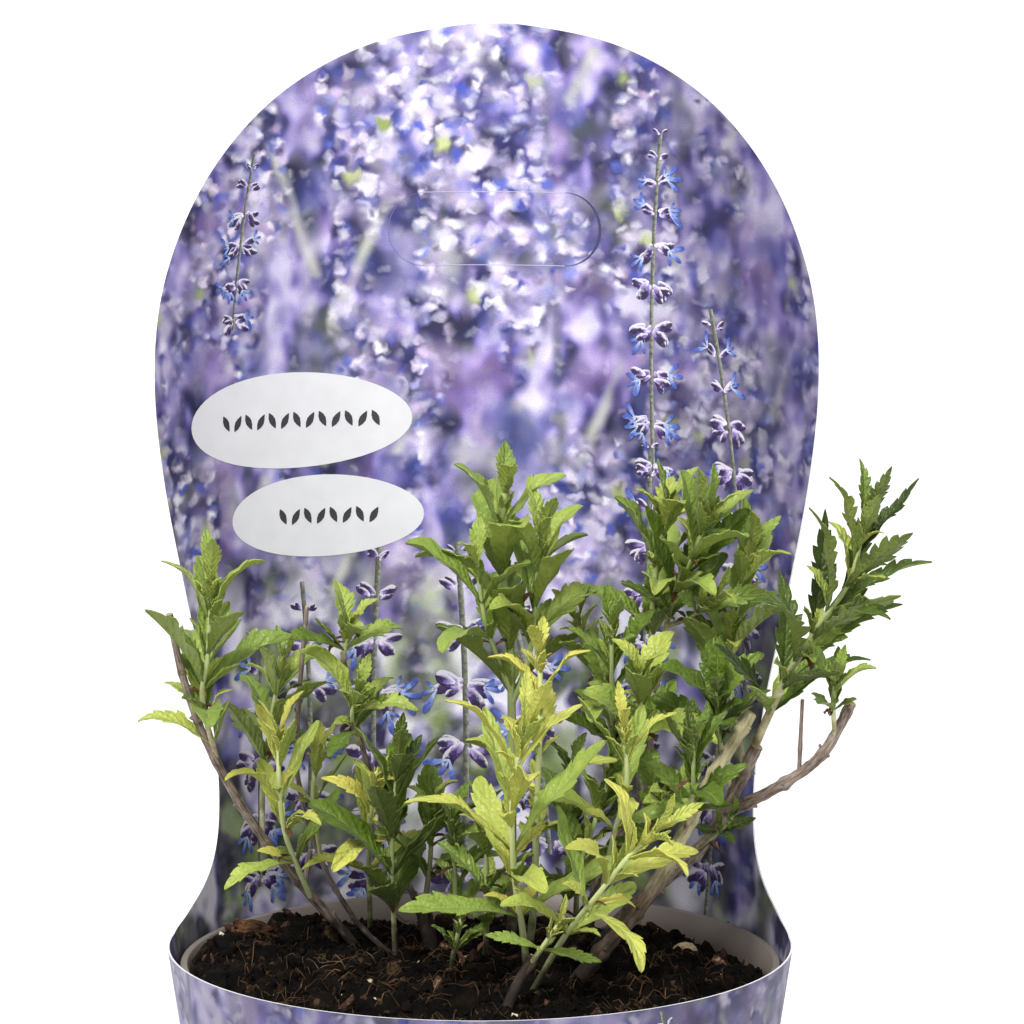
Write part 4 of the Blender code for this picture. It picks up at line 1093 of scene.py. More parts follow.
def blade_template(name, teeth, depth, widest, first, tooth_rows, taper):
    """A flat blade: x in half widths, y in lengths, z as relief, with its attributes."""
    stalk = [first * row / STALK_ROWS for row in range(STALK_ROWS)]
    edge = [(s, s, blade_width(s, widest, taper), 0.0) for s in stalk]
    pitch = (0.965 - first) / teeth
    for tooth in range(teeth):
        for row in range(tooth_rows):
            part = row / (tooth_rows - 1)
            s = first + pitch * (tooth + 0.80 * part + 0.30 * part ** 3)
            inner = first + pitch * (tooth + 0.9 * part)
            width = blade_width(min(s, 0.975), widest, taper)
            sink = depth * (1.0 - part ** 0.8) * (0.7 + 0.3 * (tooth + 1) / teeth)
            edge.append((s, inner, width * (1.0 - sink), part))
    edge.append((1.0, 0.995, 0.02, 0.0))
    spots, faces = [], []
    count = len(edge)
    for face in (1, -1):
        for s, inner, width, part in edge:
            lag = 0.085 * min(1.0, max(0.0, (s - 0.15) / 0.2)) * (1 - max(0.0, (s - 0.85) / 0.15))
            for side, parts in ((-1, ACROSS[:0:-1]), (1, ACROSS)):
                for t in parts:
                    bulge = 0.16 * math.sin(math.pi * part) * t * (1.25 - t) * width
                    groove = -0.05 if t < 0.03 else 0.0
                    vein = 1.0 if t < 0.03 else 0.5 * max(0.0, part * 3 - 2) * (1 - t)
                    reach = inner + (s - inner) * t * t - lag * (1 - t)
                    spots.append((side * t * width, reach, bulge + groove, face, t, vein, inner))
    wide = 2 * len(ACROSS) - 1
    for face in (0, 1):
        for row in range(count - 1):
            for k in range(wide - 1):
                a = (face * count + row) * wide + k
                quad = (a, a + 1, a + 1 + wide, a + wide)
                faces.append(quad if face else quad[::-1])
    under = count * wide
    loop = [row * wide for row in range(count)]
    loop += [(count - 1) * wide + k for k in range(1, wide)]
    loop += [row * wide + wide - 1 for row in range(count - 2, -1, -1)]
    loop += list(range(wide - 2, 0, -1))
    rims = set()
    for a, b in zip(loop, loop[1:] + loop[:1]):
        faces.append((a, b, b + under, a + under))
        rims |= {(min(a, b), max(a, b)), (min(a, b) + under, max(a, b) + under)}
    made = new_piece(name, [tuple(part / MM for part in spot[:3]) for spot in spots], faces, [])
    for key, place in (("face", 3), ("edge", 4), ("vein", 5), ("far", 6)):
        carry(made, key, [float(spot[place]) for spot in spots])
    crease(made, lambda edge: edge in rims)
    return made


blades = bpy.data.collections.new("blades")
stage.collection.children.link(blades)
for place, kind in enumerate(LEAF_KINDS):
    made = blade_template("blade.%d" % place, *kind)
    stage.collection.objects.unlink(made)
    blades.objects.link(made)

# A leaf's own numbers ride on a point, and the tree bends a flat blade to them: it arches from
# the lift angle at the stalk to the fall angle at the tip, twists, folds up along its midrib and
# waves at its edges. Some tips hook up or down.
leafing, given, result = new_tree("leaves_on_stem", [
    ("Thickness", "Float"), ("Fold", "Float"), ("Wave", "Float"), ("Blades", "Collection"),
    ("Material", "Material")])
LEAF_VECTORS = ("root", "axis", "out")
LEAF_NUMBERS = ("length", "half", "lift", "fall", "twist")
of = {key: given[key] for key in ("Thickness", "Fold", "Wave")}
for key in LEAF_VECTORS + LEAF_NUMBERS + ("kind", "chance", "face"):
    of[key] = node(leafing, "GeometryNodeInputNamedAttribute", {"Name": key},
                   data_type="FLOAT_VECTOR" if key in LEAF_VECTORS else "FLOAT")
templates = node(leafing, "GeometryNodeCollectionInfo", {
    "Collection": given["Blades"], "Separate Children": True})
laid = node(leafing, "GeometryNodeInstanceOnPoints", {
    "Points": given["Geometry"], "Instance": templates, "Pick Instance": True,
    "Instance Index": of["kind"]})
laid = node(leafing, "GeometryNodeRealizeInstances", {"Geometry": laid})
flat = node(leafing, "GeometryNodeInputPosition")
of["across"], of["far"], of["relief"] = node(leafing, "SeparateXYZ", {0: flat}, out=None).outputs
of["tip"] = node(leafing, "MapRange", {"Value": of["far"], "From Min": 0.55})
# The sums, one after the other: the result's name, the kind of sum, and what goes into it.
SUMS = [
    ("swing", "SUBTRACT", "fall", "lift"), ("angle", "MULTIPLY_ADD", "swing", "far", "lift"),
    ("cosine", "COSINE", "angle"), ("sine", "SINE", "angle"),
    ("first cosine", "COSINE", "lift"), ("first sine", "SINE", "lift"),
    ("bow", "DIVIDE", "length", "swing"),
    ("run", "SUBTRACT", "first cosine", "cosine"), ("run", "MULTIPLY", "run", "bow"),
    ("rise", "SUBTRACT", "sine", "first sine"), ("rise", "MULTIPLY", "rise", "bow"),
    ("turn", "MULTIPLY", "twist", "far"), ("aside", "MULTIPLY", "across", "half"),
    ("wave", "MULTIPLY", "chance", 40.0), ("wave", "MULTIPLY_ADD", "far", 14.0, "wave"),
    ("wave", "SINE", "wave"), ("wave", "MULTIPLY", "wave", "Wave"),
    ("wave", "MULTIPLY", "wave", "across"), ("wave", "MULTIPLY", "wave", "across"),
    ("firm", "MULTIPLY", "chance", 7.0), ("firm", "FRACT", "firm"), ("firm", "ADD", "firm", 0.3),
    ("fold", "ABSOLUTE", "across"), ("fold", "MULTIPLY", "fold", "Fold"),
    ("fold", "MULTIPLY", "fold", "firm"),
    ("hook", "MULTIPLY_ADD", "chance", -0.30, 0.105), ("hook", "MULTIPLY", "hook", "length"),
    ("hook", "MULTIPLY", "hook", "tip"), ("hook", "MULTIPLY", "hook", "tip"),
    ("lifted", "ADD", "relief", "wave"), ("lifted", "ADD", "lifted", "fold"),
    ("lifted", "MULTIPLY_ADD", "lifted", "half", "hook"),
    ("skin", "MULTIPLY", "Thickness", 0.5), ("lifted", "MULTIPLY_ADD", "face", "skin", "lifted"),
]
for name, operation, *parts in SUMS:
    of[name] = node(leafing, "Math", {place: of.get(part, part) for place, part in enumerate(parts)},
                    operation=operation)
middle = node(leafing, "VectorMath", {0: of["axis"], 1: of["rise"], 2: of["root"]}, operation="MULTIPLY_ADD")
middle = node(leafing, "VectorMath", {0: of["out"], 1: of["run"], 2: middle}, operation="MULTIPLY_ADD")
ahead = node(leafing, "VectorMath", {0: of["out"], "Scale": of["sine"]}, operation="SCALE")
ahead = node(leafing, "VectorMath", {0: of["axis"], 1: of["cosine"], 2: ahead}, operation="MULTIPLY_ADD")
side = node(leafing, "VectorMath", {0: of["axis"], 1: of["out"]}, operation="CROSS_PRODUCT")
twisted = node(leafing, "FunctionNodeAxisAngleToRotation", {"Axis": ahead, "Angle": of["turn"]})
side = node(leafing, "FunctionNodeRotateVector", {"Vector": side, "Rotation": twisted})
up = node(leafing, "VectorMath", {0: ahead, 1: side}, operation="CROSS_PRODUCT")
bent = node(leafing, "VectorMath", {0: side, 1: of["aside"], 2: middle}, operation="MULTIPLY_ADD")
bent = node(leafing, "VectorMath", {0: up, 1: of["lifted"], 2: bent}, operation="MULTIPLY_ADD")
bent = node(leafing, "VectorMath", {0: bent, "Scale": MM}, operation="SCALE")
laid = node(leafing, "GeometryNodeSetPosition", {"Geometry": laid, "Position": bent})
laid = node(leafing, "GeometryNodeSetMaterial", {"Geometry": laid, "Material": given["Material"]})
leafing.links.new(laid, result[0])


def leaf_points(name, crown, chances):
    """One point for each leaf and its kind, all at the origin, that carries the leaf's numbers."""
    made = new_piece(name, [(0, 0, 0)] * len(crown), [], [])
    for key in LEAF_VECTORS:
        carry(made, key, [part for leaf, kind in crown for part in getattr(leaf, key)], "FLOAT_VECTOR")
    for key in LEAF_NUMBERS + ("tone",):
        carry(made, key, [float(getattr(leaf, key)) for leaf, kind in crown])
    carry(made, "kind", [kind for leaf, kind in crown])
    carry(made, "chance", chances)
    return made


def leaf_material():
    """Living sage leaf: waxy green above with pale sunken veins, greyer below."""
    made, tree, shader = new_material("sage_leaf", Roughness=0.36, IOR=1.45, Sheen_Weight=0.10,
                                      Sheen_Roughness=0.4)
    of = {name: node(tree, "Attribute", out="Fac", attribute_name=name)
          for name in ("tone", "chance", "face", "vein", "edge", "far")}
    place = node(tree, "TexCoord", out="Object")
    mottle = node(tree, "TexNoise", {"Vector": place, "Scale": per_mm(4.5), "Detail": 4.0, "Roughness": 0.6})
    drift = node(tree, "TexNoise", {"Vector": place, "Scale": per_mm(30)})
    shade = -0.15
    for part, share in ((of["tone"], 0.62), (of["chance"], 0.36), (mottle, 0.28), (drift, 0.10)):
        shade = node(tree, "Math", {0: part, 1: share, 2: shade}, operation="MULTIPLY_ADD")
    top = node(tree, "ValToRGB", {"Fac": shade}, stops=[
        (0.02, "#3E5212"), (0.26, "#708C2A"), (0.47, "#A5BE58"), (0.68, "#D2DC6A"), (0.92, "#F6EE78")])
    below = node(tree, "ValToRGB", {"Fac": shade}, stops=[
        (0.02, "#6C7C3A"), (0.5, "#9DAE52"), (1.0, "#D6D76A")])
    # Side veins leave the midrib every eighth of the length and slant towards the tip.
    ribs = node(tree, "Math", {0: of["edge"], 1: -0.14, 2: of["far"]}, operation="MULTIPLY_ADD")
    ribs = node(tree, "Math", {0: ribs, 1: 8 * 2 * math.pi}, operation="MULTIPLY")
    ribs = node(tree, "Math", {0: ribs}, operation="COSINE")
    side_veins = node(tree, "MapRange", {"Value": ribs, "From Min": 0.84, "To Max": 0.30})
    inward = node(tree, "Math", {0: 1.0, 1: of["edge"]}, operation="SUBTRACT")
    side_veins = node(tree, "Math", {0: side_veins, 1: inward}, operation="MULTIPLY")
    veins = node(tree, "MapRange", {"Value": of["vein"], "From Min": 0.15, "From Max": 0.9, "To Max": 0.85})
    veins = node(tree, "Math", {0: veins, 1: side_veins}, operation="MAXIMUM")
    veined = node(tree, "ValToRGB", {"Fac": shade}, stops=[
        (0.02, "#8E9E52"), (0.5, "#C2CE78"), (1.0, "#EEEC92")])
    top = node(tree, "Mix", {0: veins, 6: top, 7: veined}, out=2, data_type="RGBA")
    is_top = node(tree, "Math", {0: of["face"], 1: 0.0}, operation="GREATER_THAN")
    colour = node(tree, "Mix", {0: is_top, 6: below, 7: top}, out=2, data_type="RGBA")
    withered = node(tree, "ValToRGB", {"Fac": mottle}, stops=[
        (0.35, "#4A2F1C"), (0.55, "#84593A"), (0.75, "#B58D63")])
    is_withered = node(tree, "Math", {0: of["tone"], 1: -0.5}, operation="LESS_THAN")
    colour = node(tree, "Mix", {0: is_withered, 6: colour, 7: withered}, out=2, data_type="RGBA")
    tree.links.new(colour, shader.inputs["Base Color"])
    fine = node(tree, "TexVoronoi", {"Vector": place, "Scale": per_mm(1.2)}, out="Distance")
    relief = node(tree, "Math", {0: ribs, 1: -0.24}, operation="MULTIPLY")
    relief = node(tree, "Math", {0: fine, 1: 0.80, 2: relief}, operation="MULTIPLY_ADD")
    bump = node(tree, "Bump", {"Height": relief, "Distance": 0.0004, "Strength": 1.0})
    tree.links.new(bump, shader.inputs["Normal"])
    # Some light shines through the thin blade.
    through = node(tree, "BsdfTranslucent", {"Color": colour})
    both = node(tree, "MixShader", {0: 0.30, 1: shader.outputs[0], 2: through})
    tree.links.new(both, tree.nodes["Material Output"].inputs["Surface"])
    return made


def stem_material():
    """Sage stem: green, square and downy near the tip, turning beige and woody towards its foot."""
    made, tree, shader = new_material("sage_stem", Roughness=0.62)
    tone, age = [node(tree, "Attribute", out="Fac", attribute_name=name) for name in ("tone", "age")]
    place = node(tree, "TexCoord", out="Object")
    mottle = node(tree, "TexNoise", {"Vector": place, "Scale": per_mm(5), "Detail": 4.0})
    shade = node(tree, "Math", {0: tone, 1: mottle}, operation="ADD")
    shade = node(tree, "Math", {0: shade, 1: 0.5}, operation="MULTIPLY")
    green = node(tree, "ValToRGB", {"Fac": shade}, stops=[
        (0.1, "#87935A"), (0.4, "#A9B676"), (0.7, "#C8D292"), (1.0, "#E3E8A8")])
    woody = node(tree, "ValToRGB", {"Fac": mottle}, stops=[
        (0.36, "#7A6A4E"), (0.5, "#A99E7C"), (0.66, "#CEC7A6")])
    old = node(tree, "Math", {0: mottle, 1: 0.5, 2: age}, operation="MULTIPLY_ADD")
    old = node(tree, "MapRange", {"Value": old, "From Min": 0.65, "From Max": 1.05})
    colour = node(tree, "Mix", {0: old, 6: green, 7: woody}, out=2, data_type="RGBA")
    tree.links.new(dusted(tree, place, colour), shader.inputs["Base Color"])
    fine = node(tree, "TexNoise", {"Vector": place, "Scale": per_mm(0.6)})
    bump = node(tree, "Bump", {"Height": fine, "Distance": 0.0002, "Strength": 0.6})
    tree.links.new(bump, shader.inputs["Normal"])
    return made


sage_leaf = leaf_material()
sage_stem = stem_material()
planned = plan_leaves()
# By tone: leaf length as a share of the stem's own between planned pairs, and their mean gap in mm.
BETWEEN = {"yellow": (0.32, 0.66, 13.5), "green": (0.50, 1.00, 12.0), "dark": (0.50, 1.00, 12.0)}
WITHERED = -1.0
LEAF_THICKNESS = 0.34
BUD_LEAVES = 8
# Shoots that differ: one with deeply toothed leaves, one with an open crown, whose pairs stand
# further apart, and those that stand in shade, the open crown among them, which get painted shade:
# their leaves and stems are made a little darker.
DEEP_TOOTHED = "shoot_right_tall"
OPEN_CROWN = "shoot_top_middle"
PAINTED_SHADE_SHOOTS = ("shoot_front_low", "shoot_low_right", "shoot_front_yellow", "shoot_front_base", OPEN_CROWN)


def young_leaf(root, axis, out, length, lift, bend, draw, tone):
    """One leaf of the tufts and tips that are too fine for the solids, with its kind."""
    leaf = Leaf(root, axis, out, length, length * draw.uniform(0.14, 0.185), math.radians(lift),
                math.radians(lift + bend), math.radians(draw.uniform(-30, 30)), min(1.0, tone))
    return leaf, TINY_KIND if length < 9 else draw.choice((SMALL_KIND, SMALL_KIND, LARGE_KINDS[0]))


for plant in SHOOTS:
    draw = random.Random("looks of " + plant.name)
    # Painted shade: the shaded shoots' tone, for their leaves and stem alike, is lowered by 0.10.
    tone = TONE_VALUES[plant.tone] - 0.10 * (plant.name in PAINTED_SHADE_SHOOTS)
    yellow = plant.tone == "yellow"
    deep = plant.name == DEEP_TOOTHED
    open_crown = plant.name == OPEN_CROWN
    heights = [point[2] for part in plant.stems for point in part.route]
    low, high = min(heights), max(heights)
    crown = []
    for leaf in planned[plant.name]:
        fall = leaf.fall + (0.002 if abs(leaf.fall - leaf.lift) < 0.002 else 0.0)
        own = tone * (0.32 + 0.68 * max(0.0, (leaf.root.z - low) / (high - low)) ** 1.1)
        # Fuller than the solid where there is room for it.
        longer, wider = (1.24, 1.10) if deep else (1.16, 1.0 if yellow else 1.24)
        made = leaf._replace(fall=fall, tone=own - 0.44 * deep, half=leaf.half * wider)
        fuller = made._replace(length=leaf.length * longer)
        kind = DEEP_KIND if deep else SMALL_KIND
        if not deep and leaf.length > SMALL_LEAF:
            kind = draw.choice(LARGE_KINDS)
        crown.append((fuller if in_free_space(fuller) else made, kind))
        for count in range(draw.choice((0, 0, 1) if yellow or deep or open_crown else (1, 1, 2))):
            # A young leaf in the corner between an older one and the stem.
            turn = Matrix.Rotation(draw.uniform(-1.2, 1.2), 3, leaf.axis)
            root = leaf.root + leaf.axis * draw.uniform(0.3, 2.0)
            crown.append(young_leaf(root, leaf.axis, turn @ leaf.out, leaf.length * draw.uniform(0.30, 0.62),
                                    draw.uniform(8, 26), draw.uniform(10, 40), draw, own + 0.10))
    lines = []
    for part in plant.stems:
        line = smooth_route(part.route, part.radii, 2.0)
        tip, ahead = line[-1][0], (line[-1][0] - line[-2][0]).normalized()
        line.append((tip + ahead * 0.5, part.radii[1] * 0.6))
        lines.append(line)
        points = [Vector(point) for point in part.route]
        size = sum((b - a).length for a, b in zip(points, points[1:]))
        least, most, gap = BETWEEN[plant.tone]
        reach = part.first * size
        while reach < size - 2.0:
            # Pairs of smaller leaves fill the stem between the planned ones.
            root, axis = along(points, reach / size)
            side = axis.orthogonal().normalized()
            face = draw.uniform(0, 360)
            for half_turn in (0, 180):
                turn = math.radians(face + half_turn + draw.uniform(-30, 30))
                out = Matrix.Rotation(turn, 3, axis) @ side
                length = part.leaf * draw.uniform(least, most) * (1 - 0.35 * reach / size)
                made = young_leaf(root + out * 0.4, axis, out, length, draw.uniform(14, 44),
                                  draw.uniform(8, 42), draw, tone * 0.8 + draw.uniform(-0.1, 0.2))
                if in_free_space(made[0]):
                    crown.append(made)
            reach += gap * draw.uniform(0.75, 1.25) * (2.4 if open_crown else 1.0)
        for count in range(draw.choice((0, 1, 2)) if yellow else 3):
            # Withered scraps that still hang on the nodes of the older stem.
            root, axis = along(points, draw.uniform(0.25, 0.75))
            out = Matrix.Rotation(draw.uniform(0, 6.28), 3, axis) @ axis.orthogonal().normalized()
            made = young_leaf(root + out * 0.6, axis, out, draw.uniform(3.0, 7.0), draw.uniform(40, 90),
                              draw.uniform(40, 110), draw, WITHERED)
            crown.append((made[0], TINY_KIND))
        side = ahead.orthogonal().normalized()
        longest = part.leaf * (0.30 if open_crown else 0.42)
        for count in range(BUD_LEAVES):
            # The bud: crossed pairs that shorten and close towards the very tip.
            turn = math.radians(90 * (count // 2) + 180 * (count % 2) + draw.uniform(-20, 20) + part.turn)
            out = Matrix.Rotation(turn, 3, ahead) @ side
            length = longest * (1 - 0.09 * count) * draw.uniform(0.85, 1.15)
            foot = tip - ahead * (part.leaf * 0.30 * (1 - count / BUD_LEAVES) + 1.0) + out * 0.3
            made = young_leaf(foot, ahead, out, length, draw.uniform(6, 30 - 2 * count),
                              draw.uniform(2, 26), draw, tone + 0.16)
            narrow = made[0]._replace(half=length * draw.uniform(0.11, 0.15))
            crown.append((narrow, DEEP_KIND if deep else made[1]))
    chances = [draw.random() for leaf in crown]
    green = grown(plant.name + "_leaves", leaf_points(plant.name + "_points", crown, chances), leafing, {
        "Thickness": LEAF_THICKNESS, "Fold": 0.42, "Wave": 0.34 if deep else 0.24, "Blades": blades,
        "Material": sage_leaf})
    face_outward(green)
    green.data.shade_smooth()
    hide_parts(plant.name)
    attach(green, "root")
    stalk = tube_piece(plant.name + "_stem", lines, 8, 0.22, per_mm(3.5), sage_stem)
    rises = [(corner.co.z / MM - low) / (high - low) for corner in stalk.data.vertices]
    carry(stalk, "tone", [tone] * len(rises))
    carry(stalk, "age", [1.0 - min(1.0, max(0.0, rise)) ** 0.8 - 0.45 * yellow for rise in rises])
    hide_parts(plant.name)
    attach(stalk, "root")
for template in list(blades.objects):
    bpy.data.objects.remove(template, do_unlink=True)
bpy.data.collections.remove(blades)

# The card sleeve: one die-cut sheet of coated card, rolled into a cone round the pot and glued at
# the side. It rises behind the plant as a tall panel with a rounded top. Its cut edge is white.
CARD = 0.6
CARD_BOTTOM = 3.0
CARD_ROWS = 14
CARD_COLUMNS = 96
CARD_FRONT_COLUMNS = 110
OUTLINE_STEPS = 8
# How far the print of the front lies from the panel's on the printed sheet, in metres.
FRONT_SHIFT = 0.4


def card_place(angle, z, out):
    """A point of the card: angle from its middle at the back, height, distance off its inner face."""
    turn, radius = angle + CARD_TURN, card_radius(z) + out
    return (radius * math.sin(turn), radius * math.cos(turn), z)


def outline_rows():
    """Height and half angle of the panel's smooth outline, from the straight edge to the top."""
    marks = [(z, math.radians(half)) for z, half in CARD_OUTLINE]
    marks = [(150.0, math.radians(93.0))] + marks + [(marks[-1][0], -marks[-1][1])]
    rows = []
    for around in zip(marks, marks[1:], marks[2:], marks[3:] + [(marks[-2][0] - 6, -1.0)]):
        for step in range(OUTLINE_STEPS):
            z, half = [curved(*parts, step / OUTLINE_STEPS) for parts in zip(*around)]
            z = min(z, marks[-1][0] + 0.2 * (1 - half / marks[-2][1]))
            if half > 0.001 and (not rows or z > rows[-1][0]):
                rows.append((z, half))
    return rows + [(rows[-1][0] + 0.01, 0.0005)]


edge_half = math.radians(CARD_OUTLINE[0][1])
back = [edge_half * (2 * column / CARD_COLUMNS - 1) for column in range(CARD_COLUMNS + 1)]
front_step = (2 * math.pi - 2 * edge_half) / CARD_FRONT_COLUMNS
ring = back + [edge_half + front_step * (column + 1) for column in range(CARD_FRONT_COLUMNS - 1)]
flat_spots, flat_faces, groups = [], [], []
for row in range(CARD_ROWS + 1):
    z = CARD_BOTTOM + (CARD_EDGE_Z - CARD_BOTTOM) * row / CARD_ROWS
    flat_spots += [(angle, z) for angle in ring]
for row in range(CARD_ROWS):
    for place in range(len(ring)):
        after = (place + 1) % len(ring)
        a, b = row * len(ring) + place, row * len(ring) + after
        flat_faces.append((b, a, a + len(ring), b + len(ring)))
        groups.append(0 if place < CARD_COLUMNS else 1)
first = CARD_ROWS * len(ring)
edge_row = list(range(first, first + CARD_COLUMNS + 1))
rim = list(range(first + CARD_COLUMNS, first + len(ring))) + [first]
left_side, right_side = [], []
for z, half in outline_rows()[1:]:
    above = list(range(len(flat_spots), len(flat_spots) + CARD_COLUMNS + 1))
    flat_spots += [(angle * half / edge_half, z) for angle in back]
    for place in range(CARD_COLUMNS):
        flat_faces.append((edge_row[place + 1], edge_row[place], above[place], above[place + 1]))
        groups.append(0)
    left_side.append(above[0])
    right_side.append(above[-1])
    edge_row = above
rim += left_side + edge_row[1:-1] + right_side[::-1]
bottom = list(range(len(ring)))
count = len(flat_spots)
corners = [card_place(angle, z, out) for out in (0.0, CARD) for angle, z in flat_spots]
# Faces run inner, outer, then the cut edges along the rim and the foot.
faces = [face[::-1] for face in flat_faces]
faces += [tuple(corner + count for corner in face) for face in flat_faces]
rims = set()
for loop in (rim, bottom):
    for a, b in zip(loop, loop[1:] + loop[:1]):
        faces.append((a, b, b + count, a + count))
        rims |= {(min(a, b), max(a, b)), (min(a, b) + count, max(a, b) + count)}


def print_at(angle, z, group):
    """Where a point of the card lies in the printed picture, in metres: the panel's, or the front's."""
    if group == 0:
        return (card_radius(z) * angle * MM, z * MM)
    return (card_radius(z) * math.remainder(angle - math.pi, 2 * math.pi) * MM + FRONT_SHIFT, z * MM)


def petal_print():
    """Offset print of an out-of-focus lilac flower field under a thin satin varnish."""
    made, tree, shader = new_material("printed_card", Roughness=0.44, IOR=1.47)
    flat = node(tree, "UVMap", uv_map="print")
    aside, height, _ = node(tree, "SeparateXYZ", {0: flat}, out=None).outputs
    # Spots of light lie on a sheet that is bent in broad waves and ruffled in fine ones.
    loose = flat
    for size, detail, shift, strength in ((9, 1.0, 0.0, 0.005), (3.2, 1.5, 0.37, 0.0030)):
        spot = node(tree, "VectorMath", {0: flat, 1: (shift, shift * 1.7, 0)}, operation="ADD")
        wave = node(tree, "TexNoise", {"Vector": spot, "Scale": per_mm(size), "Detail": detail},
                    out="Color", noise_dimensions="2D")
        wave = node(tree, "VectorMath", {0: wave, 1: (0.5, 0.5, 0.5)}, operation="SUBTRACT")
        loose = node(tree, "VectorMath", {0: wave, 1: (strength,) * 3, 2: loose}, operation="MULTIPLY_ADD")
    # Clouds of noise: name, size in mm, detail, how far drawn out upwards, shift on the sheet. With
    # three more numbers a cloud is a soft share: where it begins, where it is full, its most.
    clouds = {}
    for name, size, detail, tall, shift, *share in (
            ("ground", 30, 1.5, 1.5, 0.0), ("mottle", 10, 1.2, 1.3, 0.6),
            ("grit", 0.45, 1.0, 1.0, 0.0), ("whorls", 13, 1.0, 0.6, 0.67),
            ("spikes", 25, 1.5, 3.6, 0.43, 0.43, 0.56, 1.0),
            ("far leaves", 30, 1.5, 1.2, 0.31, 0.54, 0.66, 0.60),
            ("warm drift", 30, 1.5, 1.2, 0.77, 0.54, 0.68, 0.50),
            ("blue drift", 22, 1.5, 1.2, 0.13, 0.54, 0.68, 0.60),
            ("grey stems", 34, 1.0, 1.0, 0.96, 0.48, 0.55, 1.0),
            ("cream stems", 34, 1.0, 1.0, 0.40, 0.48, 0.55, 1.0),
            ("white stems", 34, 1.0, 1.0, 1.28, 0.48, 0.55, 1.0),
            ("dusky petals", 13, 0.0, 1.2, 0.05, 0.44, 0.80, 0.9),
            ("pale petals", 12, 0.0, 1.1, 0.17, 0.44, 0.80, 0.9),
            ("blue petals", 10, 0.0, 1.0, 0.71, 0.44, 0.80, 0.7),
            ("violet petals", 9, 0.0, 1.0, 0.23, 0.44, 0.80, 0.9),
            ("pale leaves", 24, 1.5, 1.4, 0.61, 0.34, 0.47, 0.88), ("pale leaf tones", 14, 1.5, 1.2, 1.01),
            ("green leaves", 26, 1.5, 1.4, 0.35, 0.42, 0.58, 0.84), ("green leaf tones", 14, 1.5, 1.2, 0.75)):
        spot = node(tree, "VectorMath", {0: flat, 1: (1.0, 1.0 / tall, 1.0), 2: (shift, shift * 1.7, 0)},
                    operation="MULTIPLY_ADD")
        clouds[name] = node(tree, "TexNoise", {"Vector": spot, "Scale": per_mm(size), "Detail": detail},
                            noise_dimensions="2D")
        if share:
            clouds[name] = node(tree, "MapRange", {
                "Value": clouds[name], "From Min": share[0], "From Max": share[1], "To Max": share[2]},
                interpolation_type="SMOOTHSTEP")
    # The low part of the panel, where leaves show between the spikes and there are fewer spots.
    low = node(tree, "Math", {0: aside, 1: 0.19}, operation="LESS_THAN")
    for begin, full in ((0.275, 0.225), (0.11, 0.16)):
        edge = node(tree, "MapRange", {"Value": height, "From Min": begin, "From Max": full},
                    interpolation_type="SMOOTHSTEP")
        low = node(tree, "Math", {0: low, 1: edge}, operation="MULTIPLY")
    clear = node(tree, "MapRange", {"Value": low, "To Min": 1.0, "To Max": 0.25})
    ground = node(tree, "Math", {0: clouds["ground"], 1: clouds["mottle"]}, operation="ADD")
    ground = node(tree, "Math", {0: ground, 1: 0.5}, operation="MULTIPLY")
    colour = node(tree, "ValToRGB", {"Fac": ground}, stops=[
        (0.38, "#28274C"), (0.45, "#5D5790"), (0.50, "#9A8FC8"), (0.55, "#C2B6E2"), (0.62, "#E4DDF4")])
    for name, tint in (("far leaves", "#6F7862"), ("warm drift", "#A98BC2"), ("blue drift", "#4F5AA4")):
        colour = node(tree, "Mix", {0: clouds[name], 6: colour, 7: tint}, out=2, data_type="RGBA")
    # Where out-of-focus spikes stand: upright drifts in whorls, which hold most of the light spots.
    whorls = node(tree, "MapRange", {"Value": clouds["whorls"], "From Min": 0.36, "From Max": 0.56,
                                     "To Min": 0.3})
    columns = node(tree, "Math", {0: clouds["spikes"], 1: whorls}, operation="MULTIPLY")
    columns = node(tree, "Math", {0: columns, 1: clear}, operation="MULTIPLY")
    thin = node(tree, "MapRange", {"Value": columns, "To Min": 0.22})
    thin = node(tree, "Math", {0: thin, 1: clear}, operation="MULTIPLY")
    # Blurred stems by slanted, broken lines, dark ones and pale ones.
    for name, slant, gap, width, chosen, most, tint in (
            ("grey stems", 0.06, 36, 0.09, 0.50, 0.65, "#4F5A5C"),
            ("cream stems", -0.50, 60, 0.07, 0.35, 0.85, "#CFD0C4"),
            ("white stems", 0.38, 64, 0.06, 0.4, 0.85, "#D8D8CC")):
        lean = node(tree, "Math", {0: height, 1: slant, 2: aside}, operation="MULTIPLY_ADD")
        lines = node(tree, "TexVoronoi", {"W": lean, "Scale": per_mm(gap), "Randomness": 1.0}, out=None,
                     voronoi_dimensions="1D")
        chance = node(tree, "SeparateColor", {0: lines.outputs["Color"]})
        line = node(tree, "Math", {0: chance, 1: chosen}, operation="LESS_THAN")
        line = node(tree, "Math", {0: line, 1: clouds[name]}, operation="MULTIPLY")
        edge = node(tree, "MapRange", {"Value": lines.outputs["Distance"], "From Min": width,
                                       "From Max": 0.0, "To Max": most}, interpolation_type="SMOOTHSTEP")
        line = node(tree, "Math", {0: line, 1: edge}, operation="MULTIPLY")
        colour = node(tree, "Mix", {0: line, 6: colour, 7: tint}, out=2, data_type="RGBA")
    # Petals far out of focus: soft dark and light blots.
    for name, tint in (("dusky petals", "#2B2850"), ("pale petals", "#E4DAF1"), ("blue petals", "#4656AC"),
                       ("violet petals", "#342F62")):
        blot = node(tree, "Math", {0: clouds[name], 1: thin}, operation="MULTIPLY")
        colour = node(tree, "Mix", {0: blot, 6: colour, 7: tint}, out=2, data_type="RGBA")
